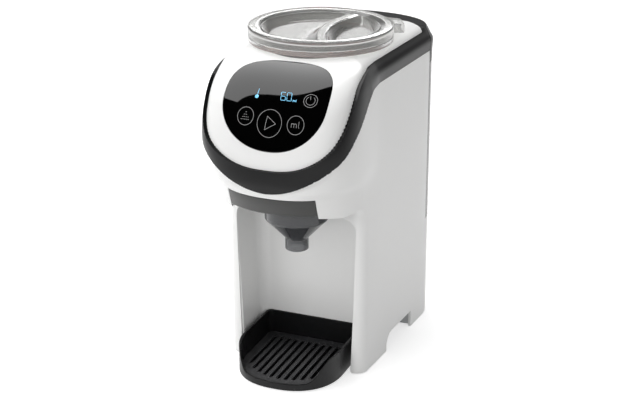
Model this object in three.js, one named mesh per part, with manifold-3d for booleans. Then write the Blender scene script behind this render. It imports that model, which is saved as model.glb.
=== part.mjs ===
// A countertop baby formula maker: powder container with a stirring wheel on top, water tank at the
// back, touch display on a bulging front, a pull-out funnel drawer and a drip tray.
// Millimetres. +Z is up, -Y is the front, +X is the right side seen from the front.
// Pieces are laid out from a point near the powder container's axis. The whole group is moved at the
// end, so that the origin is on the table under the middle of the object's bounds.
import * as THREE from "three";
import { mergeVertices } from "three/addons/utils/BufferGeometryUtils.js";
import Module from "manifold-3d";

const wasm = await Module();
wasm.setup();

// Driving dimensions of the housing
const noseY = -50; // centre of the rounded front, and the axis of the funnel
const noseHalf = 70;
const noseReach = 72;
const shoulderY = -23; // where the trim band turns down from the straight side
const rearY = 100; // where the rounded back begins
const rearHalf = 79;
const rearDepth = 48;
const deckEdgeZ = 306;
const trimSideZ = 285; // lower edge of the trim band along the sides
const trimTopZ = 304;
const trimFrontZ = 201; // lower edge of the trim band at the front
const faceFrontZ = 223; // lower edge of the white face at the front
const wall = 2.5;
const coverWall = 3.2;
const trimWall = 4;
const touchGap = 0.3; // between pieces that rest on or against each other
const slideGap = 0.6; // between pieces that slide or turn past each other
const overrun = 60; // how far a cutting shape runs past what it cuts

// Driving dimensions of the base, bay and ledges
const shellBottomZ = 1;
const footHeight = 2.7;
const plateWall = 3;
const archFrontY = 3;
const archRearY = 66;
const archTopZ = 18.5;
const archRound = 13;
const pillarY = -54;
const pillarRound = 11;
const noseFloorZ = 172; // underside of the overhanging head
const throatRound = 14;
const bayHalf = 57;
const bayBackY = -3;
const bayTopZ = 162;
const bayCornerRound = 15;
const tankFloorZ = 108;
const tankFrontY = 103;
const tankFrontBulge = 14;
const stripDeep = 8; // black strip across the back, between the deck and the tank
const stripCorner = 13; // how much further forward the strip's ends reach
const stripCornerPower = 8;

// Driving dimensions of the powder system
const hopperY = 10;
const wellRadius = 61.5;
const chassisZ = 222;
const chassisWall = 3;
const containerRadius = 60.5;
const containerWall = 2;
const rimRadius = 68.5;
const rimLift = 5.3; // from the deck's edge up to the underside of the container's rim
const rimTall = 4.7;
const rimZ = deckEdgeZ + rimLift;
const rimTopZ = rimZ + rimTall;
const lidRadius = 68.8;
const lidTall = 9.4;
const lidTopZ = rimTopZ + lidTall;
const outletReach = 48; // from the container's axis forward to its outlet
const outletRadius = 9;
const spindleRadius = 5;
const motorRadius = 18;

// Driving dimensions of the drawer, funnel and tray
const drawerHalf = 42.2;
const drawerFloorZ = 176.4;
const drawerTopZ = 195.6;
const drawerRearY = -12;
const railHalf = 40;
const slotHalf = 35;
const funnelTopRadius = 32;
const spoutRadius = 11.2;
const spoutTopZ = 134;
const coneTopZ = 153.8;
const spoutBottomZ = 121.5;
const trayHalf = 53.4;
const trayY = -58;
const trayBottomZ = 0.8;
const trayRimZ = 29;
const trayDipZ = 7.5;
const trayWall = 2.6;
const trayPower = 2.3; // squareness of the tray's front

const black = { color: 0x1d1d1f, roughness: 0.22 };
const white = { color: 0xf1f1ef, roughness: 0.3 };
const smoke = { color: 0x4b4b49, roughness: 0.25 };
const clear = { color: 0xc9cbc9, roughness: 0.15, transparent: true, opacity: 0.5 };
const grey = { color: 0x8c8e90, roughness: 0.6 };
const board = { color: 0x1f5a35, roughness: 0.6 };
const coral = { color: 0xe8756a, roughness: 0.45 };
const rubber = { color: 0x2a2a2a, roughness: 0.9 };
const steel = { color: 0xb9bcc0, roughness: 0.35, metalness: 1 };

// A geometry as a closed solid whose faces point outwards.
function solid(geometry) {
  const bare = geometry.clone();
  for (const name of ["normal", "uv"]) bare.deleteAttribute(name);
  const merged = mergeVertices(bare, 1e-4);
  const triVerts = new Uint32Array(merged.index.array);
  const vertProperties = new Float32Array(merged.attributes.position.array);
  const made = new wasm.Manifold(new wasm.Mesh({ numProp: 3, vertProperties, triVerts }));
  if (made.volume() > 0) return made;
  for (let i = 0; i < triVerts.length; i += 3) {
    [triVerts[i + 1], triVerts[i + 2]] = [triVerts[i + 2], triVerts[i + 1]];
  }
  return new wasm.Manifold(new wasm.Mesh({ numProp: 3, vertProperties, triVerts }));
}

function geometryOf(manifold) {
  const { vertProperties, triVerts, numProp } = manifold.getMesh();
  const geometry = new THREE.BufferGeometry();
  const positions = new Float32Array((vertProperties.length / numProp) * 3);
  for (let i = 0; i < positions.length / 3; i += 1) {
    positions.set(vertProperties.subarray(i * numProp, i * numProp + 3), i * 3);
  }
  geometry.setAttribute("position", new THREE.BufferAttribute(positions, 3));
  geometry.setIndex(new THREE.BufferAttribute(new Uint32Array(triVerts), 1));
  geometry.computeVertexNormals();
  return geometry;
}

const join = (...solids) => solids.reduce((all, next) => all.add(next));
const cut = (base, ...tools) => tools.reduce((left, tool) => left.subtract(tool), base);

function block(xs, ys, zs) {
  const geometry = new THREE.BoxGeometry(xs[1] - xs[0], ys[1] - ys[0], zs[1] - zs[0]);
  geometry.translate((xs[0] + xs[1]) / 2, (ys[0] + ys[1]) / 2, (zs[0] + zs[1]) / 2);
  return solid(geometry);
}

// A prism over an outline. The plane names which axes the outline's two coordinates follow.
function prism(points, from, to, plane = "XY") {
  const shape = new THREE.Shape(points.map(([u, v]) => new THREE.Vector2(u, v)));
  const geometry = new THREE.ExtrudeGeometry(shape, { depth: to - from, bevelEnabled: false });
  geometry.translate(0, 0, from);
  const [x, y, z] = ["100", "010", "001"].map((axis) => new THREE.Vector3(...axis));
  if (plane === "YZ") geometry.applyMatrix4(new THREE.Matrix4().makeBasis(y, z, x));
  if (plane === "XZ") geometry.applyMatrix4(new THREE.Matrix4().makeBasis(x, z, y.negate()));
  return solid(geometry);
}

// A turned piece about a vertical axis at (x, y). The profile is a closed list of [radius, height].
function turned(profile, x, y, steps = 40) {
  const closed = [...profile, profile[0]].map(([r, z]) => new THREE.Vector2(r, z));
  const geometry = new THREE.LatheGeometry(closed, steps);
  geometry.rotateX(Math.PI / 2);
  geometry.translate(x, y, 0);
  return solid(geometry);
}

const rod = (x, y, radius, z0, z1, steps = 24) =>
  turned([[0, z0], [radius, z0], [radius, z1], [0, z1]], x, y, steps);

// A turned piece about an axis along X, centred on (y, z).
function turnedAlongX(profile, y, z, steps = 28) {
  const closed = [...profile, profile[0]].map(([r, along]) => new THREE.Vector2(r, along));
  const geometry = new THREE.LatheGeometry(closed, steps);
  geometry.rotateZ(-Math.PI / 2);
  geometry.translate(0, y, z);
  return solid(geometry);
}

function barAlongX(x0, x1, radius, y, z) {
  return turnedAlongX([[0, x0], [radius, x0], [radius, x1], [0, x1]], y, z, 20);
}

function hose(points, radius, steps) {
  const path = new THREE.CatmullRomCurve3(points.map((p) => new THREE.Vector3(...p)));
  const section = new THREE.Shape();
  section.absarc(0, 0, radius, 0, Math.PI * 2);
  const settings = { steps, curveSegments: 4, extrudePath: path, bevelEnabled: false };
  return solid(new THREE.ExtrudeGeometry(section, settings));
}

const group = new THREE.Group();

function piece(parent, name, manifold, finish, position = [0, 0, 0]) {
  const mesh = new THREE.Mesh(geometryOf(manifold), new THREE.MeshStandardMaterial(finish));
  mesh.name = name;
  mesh.position.set(...position);
  parent.add(mesh);
}

// The housing's outline in plan
const rearPower = 2.3;
const rearSteps = 16;
const noseSteps = 24;

const sideHalf = (y) => noseHalf + ((rearHalf - noseHalf) * (y - noseY)) / (rearY - noseY);
const softPower = (value, power) => Math.sign(value) * Math.abs(value) ** (2 / power);

function planOutline({ half, reach, power, sideOut, back, rearIn }, inset, frontInset) {
  const points = [];
  for (let i = 0; i <= rearSteps; i += 1) {
    const angle = (Math.PI * i) / rearSteps;
    const x = (rearHalf + sideOut - inset) * softPower(Math.cos(angle), rearPower);
    points.push([x, rearY + (rearDepth - rearIn - inset) * softPower(Math.sin(angle), rearPower)]);
  }
  const shoulder = sideHalf(shoulderY) + sideOut - inset;
  points.push([-shoulder, shoulderY + back]);
  for (let i = 0; i <= noseSteps; i += 1) {
    const angle = Math.PI * (1 + i / noseSteps);
    const y = noseY + back + (reach - frontInset) * softPower(Math.sin(angle), power);
    points.push([(half - inset) * softPower(Math.cos(angle), power), y]);
  }
  points.push([shoulder, shoulderY + back]);
  return points;
}

// A closed skin over a stack of outlines of equal length.
function loft(rings) {
  const count = rings[0].length;
  const positions = rings.flat(2);
  const faces = [];
  for (let r = 0; r + 1 < rings.length; r += 1) {
    for (let i = 0; i < count; i += 1) {
      const a = r * count + i;
      const b = r * count + ((i + 1) % count);
      faces.push(a, b, a + count, b, b + count, a + count);
    }
  }
  const flat = rings[0].map(([x, y]) => new THREE.Vector2(x, y));
  for (const [a, b, c] of THREE.ShapeUtils.triangulateShape(flat, [])) faces.push(c, b, a);
  const top = (rings.length - 1) * count;
  const last = rings[rings.length - 1].map(([x, y]) => new THREE.Vector2(x, y));
  for (const [a, b, c] of THREE.ShapeUtils.triangulateShape(last, [])) {
    faces.push(top + a, top + b, top + c);
  }
  const geometry = new THREE.BufferGeometry();
  geometry.setAttribute("position", new THREE.Float32BufferAttribute(positions, 3));
  geometry.setIndex(faces);
  return solid(geometry);
}

// Each row: height as a share of deckEdgeZ, half width of noseHalf, reach of noseReach, squareness,
// then how far the surface leans up (sine of its normal), and as shares of noseHalf how far the
// sides stand out, the nose's centre moves back and the back moves in.
const bodyShares = [
  [0.0033, 0.993, 0.833, 2.2, 0, 0, 0, 0],
  [0.5621, 0.993, 0.833, 2.2, 0, 0, 0, 0],
  [0.5817, 0.993, 0.875, 2.2, 0, 0, 0, 0],
  [0.6405, 1, 0.98, 2.2, 0, 0, 0, 0],
  [0.6634, 1.02, 1, 2.6, 0, 0, 0, 0],
  [0.6993, 1.035, 1, 2.9, 0, 0, 0, 0],
  [0.7582, 1.035, 1, 3.6, 0, 0, 0, 0],
  [0.817, 1.03, 0.97, 4, 0, 0, 0, 0],
  [0.9477, 1.02, 0.85, 4, 0, 0, 0, 0],
];
const trimShares = [
  [0.6503, 1.021, 1, 2.5, 0, 0, 0, 0],
  [0.6634, 1.036, 1.014, 2.6, 0, 0, 0, 0],
  [0.6928, 1.057, 1.042, 3, 0, 0, 0, 0],
  [0.732, 1.071, 1.032, 3.5, 0, 0, 0, 0],
  [0.7843, 1.086, 1.008, 4.2, 0.15, 0, 0, 0],
  [0.8366, 1.086, 0.951, 4.5, 0.33, 0, 0, 0],
  [0.8889, 1.08, 0.847, 4.6, 0.5, 0, 0, 0],
  [0.9314, 1.064, 0.729, 4.6, 0.6, 0.004, 0, 0],
  [0.9608, 1.043, 0.597, 4.4, 0.75, 0.012, 0, 0],
  [0.9804, 1.011, 0.458, 4.2, 0.85, -0.036, 0, 0],
  [0.9951, 0.976, 0.306, 4, 0.95, -0.074, 0, 0],
  [1.0033, 0.95, 0.194, 4, 1, -0.1, 0, 0],
];
const faceShares = [
  [0.7124, 1.021, 1.003, 3, 0, -0.03, 0, 0],
  [0.7516, 1.036, 0.994, 3.6, 0.1, -0.03, 0, 0],
  [0.7941, 1.043, 0.969, 4.2, 0.2, -0.03, 0, 0],
  [0.8333, 1.043, 0.924, 4.4, 0.33, -0.03, 0, 0],
  [0.8725, 1.037, 0.854, 4.5, 0.45, -0.03, 0, 0],
  [0.915, 1.026, 0.75, 4.5, 0.6, -0.03, 0, 0],
  [0.9477, 1.011, 0.618, 4.3, 0.75, -0.03, 0, 0],
  [0.9739, 0.986, 0.451, 4.1, 0.88, -0.05, 0, 0],
  [0.9918, 0.961, 0.278, 4, 0.95, -0.08, 0, 0],
  [1.0016, 0.936, 0.125, 4, 1, -0.107, 0, 0.03],
  [1.0098, 0.857, 0.03, 4, 1, -0.186, 0.057, 0.12],
  [1.0157, 0.72, 0.02, 4, 1, -0.34, 0.2, 0.3],
];

// The skin of one table of shares, moved inwards by a thickness.
function envelope(shares, thickness) {
  return loft(
    shares.map(([height, half, reach, power, lean, sideOut, back, rearIn]) => {
      const row = {
        half: half * noseHalf,
        reach: reach * noseReach,
        power,
        sideOut: sideOut * noseHalf,
        back: back * noseHalf,
        rearIn: rearIn * noseHalf,
      };
      const frontInset = Math.min(thickness * Math.sqrt(1 - lean * lean), row.reach / 2);
      const z = height * deckEdgeZ - thickness * lean;
      return planOutline(row, thickness, frontInset).map(([x, y]) => [x, y, z]);
    }),
  );
}

// The trim band's two edges in side view: [share of the way forward, share of the drop].
const apexY = noseY - noseReach;
const lowerEdgeShares = [
  [0, 0], [0.08, 0.03], [0.17, 0.083], [0.26, 0.16], [0.36, 0.27], [0.505, 0.47],
  [0.636, 0.643], [0.788, 0.821], [0.92, 0.94], [1, 1],
];
const upperEdgeShares = [
  [0, 0], [0.16, 0.025], [0.34, 0.07], [0.5, 0.15], [0.62, 0.29], [0.72, 0.46],
  [0.82, 0.68], [0.92, 0.88], [0.97, 0.95], [1.02, 1],
];
const upperKinkY = -40;

const edge = (shares, startY, startZ, endZ, shift) =>
  shares.map(([forward, drop]) => [
    startY + (apexY - startY) * forward,
    startZ - (startZ - endZ) * drop + shift,
  ]);
const lowerEdge = (shift) => edge(lowerEdgeShares, shoulderY, trimSideZ, trimFrontZ, shift);
const upperEdge = (shift) => edge(upperEdgeShares, upperKinkY, trimTopZ, faceFrontZ, shift);

// Everything above one of the band's edges, right through the housing.
function aboveEdge(points) {
  const front = apexY - overrun;
  const rear = rearY + rearDepth + overrun;
  const top = deckEdgeZ + overrun;
  const [, startZ] = points[0];
  const [, endZ] = points[points.length - 1];
  const outline = [[rear, startZ], ...points, [front, endZ], [front, top], [rear, top]];
  return prism(outline, -rearHalf - overrun, rearHalf + overrun, "YZ");
}

// The space that the water tank takes behind the housing, from a height up.
function tankSpace(fromZ, grow) {
  const half = rearHalf + overrun;
  const points = [[half, tankFrontY - grow], [rearHalf, tankFrontY - grow]];
  for (let i = 1; i < rearSteps; i += 1) {
    const angle = (Math.PI * i) / rearSteps;
    const y = tankFrontY - grow + tankFrontBulge * Math.sin(angle);
    points.push([rearHalf * Math.cos(angle), y]);
  }
  const rear = rearY + rearDepth + overrun;
  points.push([-rearHalf, tankFrontY - grow], [-half, tankFrontY - grow], [-half, rear], [half, rear]);
  return prism(points, fromZ - grow, deckEdgeZ + overrun);
}

// Everything behind the deck's rear edge, which is an arc with rounded ends.
function behindDeck(grow) {
  const steps = rearSteps * 2;
  const points = [];
  for (let i = 0; i <= steps; i += 1) {
    const across = Math.cos((Math.PI * i) / steps);
    const bulge = tankFrontBulge * Math.sin((Math.PI * i) / steps);
    const corner = stripCorner * Math.abs(across) ** stripCornerPower;
    points.push([rearHalf * across, tankFrontY - stripDeep - grow + bulge - corner]);
  }
  const rear = rearY + rearDepth + overrun;
  const half = rearHalf + overrun;
  const [[, endY]] = points;
  const outline = [[half, endY], ...points, [-half, endY], [-half, rear], [half, rear]];
  return prism(outline, 0, deckEdgeZ + overrun);
}

// The space under the overhanging head, in front of the pillars.
function underHead(grow) {
  const y = pillarY + grow;
  const z = noseFloorZ + grow;
  const r = throatRound - grow;
  const points = [[apexY - overrun, -overrun], [y, -overrun]];
  const steps = 6;
  for (let i = 0; i <= steps; i += 1) {
    const angle = (Math.PI * i) / (2 * steps);
    points.push([y - r + r * Math.cos(angle), z - r + r * Math.sin(angle)]);
  }
  points.push([apexY - overrun, z]);
  return prism(points, -rearHalf - overrun, rearHalf + overrun, "YZ");
}

// The vertical edges at the front of the two pillars are rounded.
function pillarEdge(side, grow) {
  const r = pillarRound - grow;
  const x = side * (sideHalf(pillarY + pillarRound) - pillarRound);
  const y = pillarY + pillarRound;
  const corner = block(
    [Math.min(x, x + side * overrun), Math.max(x, x + side * overrun)],
    [pillarY - slideGap, y],
    [-overrun, noseFloorZ - throatRound],
  );
  return cut(corner, rod(x, y, r, -overrun * 2, noseFloorZ + overrun, 32));
}

function roundedTopOutline(half, bottom, top, round) {
  const points = [[-half, bottom], [half, bottom]];
  const steps = 6;
  for (let i = 0; i <= steps; i += 1) {
    const angle = (Math.PI * i) / (2 * steps);
    points.push([half - round + round * Math.cos(angle), top - round + round * Math.sin(angle)]);
  }
  for (let i = steps; i >= 0; i -= 1) {
    const angle = (Math.PI * i) / (2 * steps);
    points.push([-half + round - round * Math.cos(angle), top - round + round * Math.sin(angle)]);
  }
  return points;
}

// The arch between the front and rear feet, seen from the side.
function archOutline(grow) {
  const front = archFrontY - grow;
  const top = archTopZ + grow;
  const points = [[front, -overrun], [archRearY + grow, -overrun], [archRearY + grow, top]];
  const steps = 5;
  for (let i = 0; i <= steps; i += 1) {
    const angle = (Math.PI * i) / (2 * steps);
    points.push([
      front + archRound - archRound * Math.sin(angle),
      top - archRound + archRound * Math.cos(angle),
    ]);
  }
  return points;
}

// Screw bosses on the inside of the side walls
const bossRadius = 4.5;
const screwRadius = 1.5;
const screwBore = 1.8;
const screwHead = 3;
const screwHeadHeight = 1.6;
const screwLength = 11;
const bossHeight = 14;
const frontBossY = -30;
const rearBossY = 80;
const bossInset = 6.1; // from the side's outer face to the boss's axis
const bossPlaces = [frontBossY, rearBossY].flatMap((y) =>
  [-1, 1].map((side) => [side * (sideHalf(y) - bossInset), y]),
);
const baseTopZ = footHeight + touchGap + plateWall;
const lowBossZ = baseTopZ + touchGap;
const highBossZ = chassisZ - touchGap;

function boss(x, y, z0, z1, boreUp) {
  const bore = boreUp
    ? rod(x, y, screwBore, z0 - overrun, z1 - wall, 12)
    : rod(x, y, screwBore, z0 + wall, z1 + overrun, 12);
  return { body: rod(x, y, bossRadius, z0, z1, 16), bore };
}

// White body shell: side walls, pillars, rear ledge and the skin below the trim band
function bodyShell() {
  const outer = cut(
    envelope(bodyShares, 0),
    underHead(0),
    tankSpace(tankFloorZ, 0),
    pillarEdge(-1, 0),
    pillarEdge(1, 0),
  );
  const below = block(
    [-rearHalf, rearHalf], [apexY, rearY + rearDepth], [-overrun, shellBottomZ + touchGap],
  );
  const inner = cut(
    envelope(bodyShares, wall),
    underHead(wall),
    tankSpace(tankFloorZ, wall),
    pillarEdge(-1, wall),
    pillarEdge(1, wall),
  );
  const openBottom = inner.translate(0, 0, -wall - shellBottomZ).intersect(below);
  const bosses = bossPlaces.flatMap(([x, y]) => [
    boss(x, y, lowBossZ, lowBossZ + bossHeight, true),
    boss(x, y, highBossZ - bossHeight, highBossZ, false),
  ]);
  const solidBosses = join(...bosses.map((one) => one.body)).intersect(outer);
  const shell = cut(outer, inner, openBottom).add(solidBosses);
  const bayDoor = prism(
    roundedTopOutline(bayHalf, -overrun, bayTopZ, bayCornerRound),
    -bayBackY, -pillarY + overrun, "XZ",
  );
  const drawerDoor = block(
    [-drawerHalf - slideGap, drawerHalf + slideGap],
    [apexY - overrun, noseY - funnelTopRadius],
    [drawerFloorZ - slideGap, drawerTopZ + slideGap],
  );
  const funnelSlot = block([-slotHalf, slotHalf], [apexY - overrun, noseY + slotHalf],
    [noseFloorZ - overrun / 2, drawerFloorZ]);
  const arch = prism(archOutline(0), -rearHalf - overrun, rearHalf + overrun, "YZ");
  const inlet = block(
    [inletX - inletHalf, inletX + inletHalf],
    [rearY, rearY + rearDepth + overrun],
    [inletZ, inletZ + inletTall],
  );
  return cut(
    shell,
    aboveEdge(lowerEdge(-touchGap)),
    bayDoor,
    drawerDoor,
    funnelSlot,
    arch,
    inlet,
    rod(0, dockY, dockRadius + slideGap, tankFloorZ - overrun / 2, tankFloorZ + overrun, 24),
    ...bosses.map((one) => one.bore),
  );
}

// Mains inlet low in the back wall
const inletX = 0;
const inletHalf = 12;
const inletZ = 22;
const inletTall = 18;
const inletDeep = 16;
const inletRim = 2.2;

function mainsInlet() {
  const fit = touchGap;
  const backY = rearWallY(inletX + inletHalf) - fit;
  const front = backY - inletDeep;
  const body = block(
    [inletX - inletHalf + fit, inletX + inletHalf - fit],
    [front, backY],
    [inletZ + fit, inletZ + inletTall - fit],
  );
  const socket = block(
    [inletX - inletHalf + inletRim, inletX + inletHalf - inletRim],
    [front + inletRim, backY + overrun],
    [inletZ + inletRim, inletZ + inletTall - inletRim],
  );
  const pins = [-1, 1].map((side) => {
    const x = inletX + (side * inletHalf) / 3;
    const z = inletZ + inletTall / 2;
    return block([x - fit * 3, x + fit * 3], [front + fit, backY - inletRim * 2],
      [z - inletRim, z + inletRim]);
  });
  return join(cut(body, socket), ...pins);
}

function rearWallY(x) {
  return rearY + rearDepth * (1 - (Math.abs(x) / rearHalf) ** rearPower) ** (1 / rearPower);
}

// Base plate: a strip under each pillar, then the arch and the rear foot
function basePlate() {
  const low = footHeight + touchGap;
  const archZ = archTopZ + touchGap;
  const frontWall = archFrontY - touchGap;
  const rearWall = archRearY + touchGap;
  const front = pillarY + wall + touchGap;
  const rear = rearY + rearDepth;
  const outline = [
    [front, low], [frontWall, low], [frontWall, archZ], [rearWall, archZ], [rearWall, low],
    [rear, low], [rear, low + plateWall], [rearWall + plateWall, low + plateWall],
    [rearWall + plateWall, archZ + plateWall], [frontWall - plateWall, archZ + plateWall],
    [frontWall - plateWall, low + plateWall], [front, low + plateWall],
  ];
  const plate = prism(outline, -rearHalf, rearHalf, "YZ");
  const inside = cut(
    envelope(bodyShares, wall + touchGap),
    pillarEdge(-1, wall + touchGap),
    pillarEdge(1, wall + touchGap),
  );
  const underBay = block(
    [-bayHalf - wall - touchGap, bayHalf + wall + touchGap],
    [pillarY - overrun, frontWall - plateWall],
    [-overrun, low + overrun],
  );
  const holes = bossPlaces.map(([x, y]) => rod(x, y, screwBore, -overrun, overrun, 12));
  return cut(plate.intersect(inside), underBay, ...holes);
}

const footRadius = 8;
const footInset = 23; // from the housing's side to a rear foot's middle
const pillarFootRadius = 3.6;
const frontFootY = pillarY + footRadius + wall * 2;
const frontFootX = (bayHalf + sideHalf(frontFootY)) / 2; // midway under the pillar
const rearFootX = rearHalf - footInset;
const rearFootY = rearY + footRadius * 1.5;
const foot = (radius) =>
  turned([[0, 0], [radius * 0.85, 0], [radius, footHeight], [0, footHeight]], 0, 0, 20);

function screw() {
  const head = -screwHeadHeight;
  return turned(
    [[0, head], [screwHead, head], [screwHead, 0], [screwRadius, 0],
      [screwRadius, screwLength], [0, screwLength]],
    0, 0, 12,
  );
}

// Bay liner: back wall, side walls and ceiling of the bottle bay
function bayLiner() {
  const front = pillarY + wall + touchGap;
  const outer = block(
    [-bayHalf - wall, bayHalf + wall], [front, bayBackY + wall], [shellBottomZ, bayTopZ + wall],
  );
  const hollow = prism(
    roundedTopOutline(bayHalf, -overrun, bayTopZ, bayCornerRound),
    -bayBackY, -front + overrun, "XZ",
  );
  const slot = block([-slotHalf, slotHalf], [front - overrun, noseY + slotHalf],
    [bayTopZ - bayCornerRound, bayTopZ + overrun]);
  return cut(outer, hollow, slot);
}

// Black trim band: round the face, along both sides and across the back in front of the tank,
// where its top is a closed strip behind the deck
function trimBand() {
  const last = trimShares[trimShares.length - 1];
  const topZ = last[0] * deckEdgeZ;
  const openTop = [...trimShares.slice(0, -1), [(topZ + overrun) / deckEdgeZ, ...last.slice(1)]];
  const outer = cut(envelope(trimShares, 0), tankSpace(tankFloorZ, touchGap));
  const inner = cut(envelope(openTop, trimWall), tankSpace(tankFloorZ, touchGap + trimWall));
  const band = cut(aboveEdge(lowerEdge(0)), aboveEdge(upperEdge(0)));
  const slab = block([-rearHalf, rearHalf], [hopperY, rearY + rearDepth], [topZ - trimWall, topZ]);
  const strip = outer.intersect(behindDeck(0)).intersect(slab);
  return join(cut(outer, inner).intersect(band), strip);
}

// Display window: an outline in a plane that leans back, square to the middle of the face
const windowTilt = Math.PI / 4;
const windowY = -92;
const windowZ = 274;
const windowHalf = 53.7;
const windowUp = 43;
const windowDown = 46;
const windowUpPower = 3.2;
const windowDownPower = 2.15;
const glassThick = 1.6;
const windowCutDeep = 30; // how far the window's cutting shape reaches each way
const windowCutOut = 60;

function windowPrism(grow) {
  const steps = 40;
  const points = [];
  for (let i = 0; i < steps; i += 1) {
    const angle = (Math.PI * 2 * i) / steps;
    const upper = Math.sin(angle) >= 0;
    const power = upper ? windowUpPower : windowDownPower;
    const tall = (upper ? windowUp : windowDown) + grow;
    points.push(new THREE.Vector2(
      (windowHalf + grow) * softPower(Math.cos(angle), power),
      tall * softPower(Math.sin(angle), power),
    ));
  }
  const settings = { depth: windowCutDeep + windowCutOut, bevelEnabled: false };
  const geometry = new THREE.ExtrudeGeometry(new THREE.Shape(points), settings);
  geometry.translate(0, 0, -windowCutDeep);
  geometry.rotateX(windowTilt);
  geometry.translate(0, windowY, windowZ);
  return solid(geometry);
}

// White top cover: the bulging face and the deck round the powder container, in one shell
function topCover() {
  const outer = cut(envelope(faceShares, 0), behindDeck(touchGap));
  const inner = cut(envelope(faceShares, coverWall), behindDeck(touchGap + coverWall));
  const upper = cut(outer, inner).intersect(aboveEdge(upperEdge(touchGap)));
  const pocket = cut(windowPrism(touchGap), envelope(faceShares, glassThick + touchGap));
  const mouth = rod(0, hopperY, wellRadius + slideGap, chassisZ, deckEdgeZ + overrun, 56);
  return cut(upper, pocket, mouth);
}

function displayWindow() {
  const glass = cut(envelope(faceShares, 0), envelope(faceShares, glassThick));
  return glass.intersect(windowPrism(0));
}

// Touch board: a curved board that lies against the back of the face behind the window
const boardThick = 1.6;
const boardTrim = 14;

function displayBoard() {
  const from = coverWall + touchGap;
  const layer = cut(envelope(faceShares, from), envelope(faceShares, from + boardThick));
  const inFront = block(
    [-rearHalf, rearHalf],
    [apexY, hopperY - wellRadius - wall - slideGap],
    [chassisZ, deckEdgeZ + overrun],
  );
  return layer.intersect(windowPrism(-boardTrim)).intersect(inFront);
}

// Chassis plate: carries the well above and the motor and dispense block below
function chassisPlate() {
  const slab = block([-rearHalf, rearHalf], [apexY, rearY + rearDepth],
    [chassisZ, chassisZ + chassisWall]);
  const inside = cut(envelope(bodyShares, wall + touchGap), tankSpace(tankFloorZ, wall + touchGap));
  const frontEdge = block([-rearHalf, rearHalf], [apexY - overrun, noseY - noseReach / 2],
    [chassisZ - wall, chassisZ + overrun]);
  return cut(
    slab.intersect(inside),
    frontEdge,
    rod(0, hopperY, spindleRadius + slideGap, 0, deckEdgeZ, 20),
    rod(0, hopperY - outletReach, outletRadius + slideGap, 0, deckEdgeZ, 24),
    rod(hoseDropX, hoseDropY, hoseRadius + slideGap * 2, 0, deckEdgeZ, 16),
    ...bossPlaces.map(([x, y]) => rod(x, y, screwBore, 0, deckEdgeZ, 12)),
  );
}

const wellFloorZ = chassisZ + chassisWall + touchGap;
const wellDrop = 8; // from the deck's edge down to the well's rim
const wellTopZ = deckEdgeZ - wellDrop;
const dogRadius = 8;

function containerWell() {
  const floor = wellFloorZ + wall;
  const cup = turned(
    [[0, wellFloorZ], [wellRadius + wall, wellFloorZ], [wellRadius + wall, wellTopZ],
      [wellRadius, wellTopZ], [wellRadius, floor], [0, floor]],
    0, hopperY, 48,
  );
  return cut(
    cup,
    rod(0, hopperY, dogRadius + slideGap, 0, deckEdgeZ, 24),
    rod(0, hopperY - outletReach, outletRadius + slideGap, 0, deckEdgeZ, 24),
  );
}

// Powder container with its rim, spindle hole and outlet
const containerFloorZ = wellFloorZ + wall + touchGap;
const containerFloor = 2.4;

function powderContainer() {
  const inner = containerRadius - containerWall;
  const floor = containerFloorZ + containerFloor;
  const cup = turned(
    [[0, containerFloorZ], [containerRadius, containerFloorZ], [containerRadius, rimZ],
      [rimRadius, rimZ], [rimRadius, rimTopZ], [inner, rimTopZ], [inner, floor], [0, floor]],
    0, hopperY, 44,
  );
  return cut(
    cup,
    rod(0, hopperY, spindleRadius + slideGap, 0, deckEdgeZ, 24),
    rod(0, hopperY - outletReach, outletRadius, 0, deckEdgeZ, 24),
  );
}

// Stirring wheel: hub, six blades and an outer ring that sweeps the container's floor
const wheelZ = containerFloorZ + containerFloor + slideGap;
const hubRadius = 12;
const hubHeight = 12;
const bladeCount = 6;
const bladeHalf = 2;
const bladeHeight = 7;
const wheelRadius = containerRadius - containerWall - slideGap * 2;
const wheelRing = 2.6;
const spindleTall = 8; // how far the spindle stands up inside the wheel's hub
const spindleTopZ = wheelZ + spindleTall;

function stirringWheel() {
  const hub = rod(0, hopperY, hubRadius, wheelZ, wheelZ + hubHeight, 28);
  const ring = turned(
    [[wheelRadius - wheelRing, wheelZ], [wheelRadius, wheelZ],
      [wheelRadius, wheelZ + bladeHeight], [wheelRadius - wheelRing, wheelZ + bladeHeight]],
    0, hopperY, 48,
  );
  const blades = [];
  for (let i = 0; i < bladeCount; i += 1) {
    const geometry = new THREE.BoxGeometry(wheelRadius - wheelRing / 2, bladeHalf * 2, bladeHeight);
    geometry.translate((wheelRadius - wheelRing / 2) / 2, 0, wheelZ + bladeHeight / 2);
    geometry.rotateZ((Math.PI * 2 * (i + 0.5)) / bladeCount);
    geometry.translate(0, hopperY, 0);
    blades.push(solid(geometry));
  }
  const bore = rod(0, hopperY, spindleRadius + touchGap, 0, spindleTopZ + touchGap, 20);
  return cut(join(hub, ring, ...blades), bore);
}

// Drive coupling: shaft out of the motor, dog head and spindle
function driveCoupling() {
  const dogZ = wellFloorZ + touchGap;
  const dogTop = containerFloorZ - touchGap;
  return turned(
    [[0, chassisZ + touchGap], [spindleRadius * 0.8, chassisZ + touchGap],
      [spindleRadius * 0.8, dogZ], [dogRadius, dogZ], [dogRadius, dogTop],
      [spindleRadius, dogTop], [spindleRadius, spindleTopZ], [0, spindleTopZ]],
    0, hopperY, 20,
  );
}

const motorHeight = 31;
const gearboxRadius = 22;
const gearboxHeight = 10;

function stirMotor() {
  const top = chassisZ - touchGap;
  return turned(
    [[0, top - motorHeight], [motorRadius, top - motorHeight],
      [motorRadius, top - gearboxHeight], [gearboxRadius, top - gearboxHeight],
      [gearboxRadius, top], [0, top]],
    0, hopperY, 32,
  );
}

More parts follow.
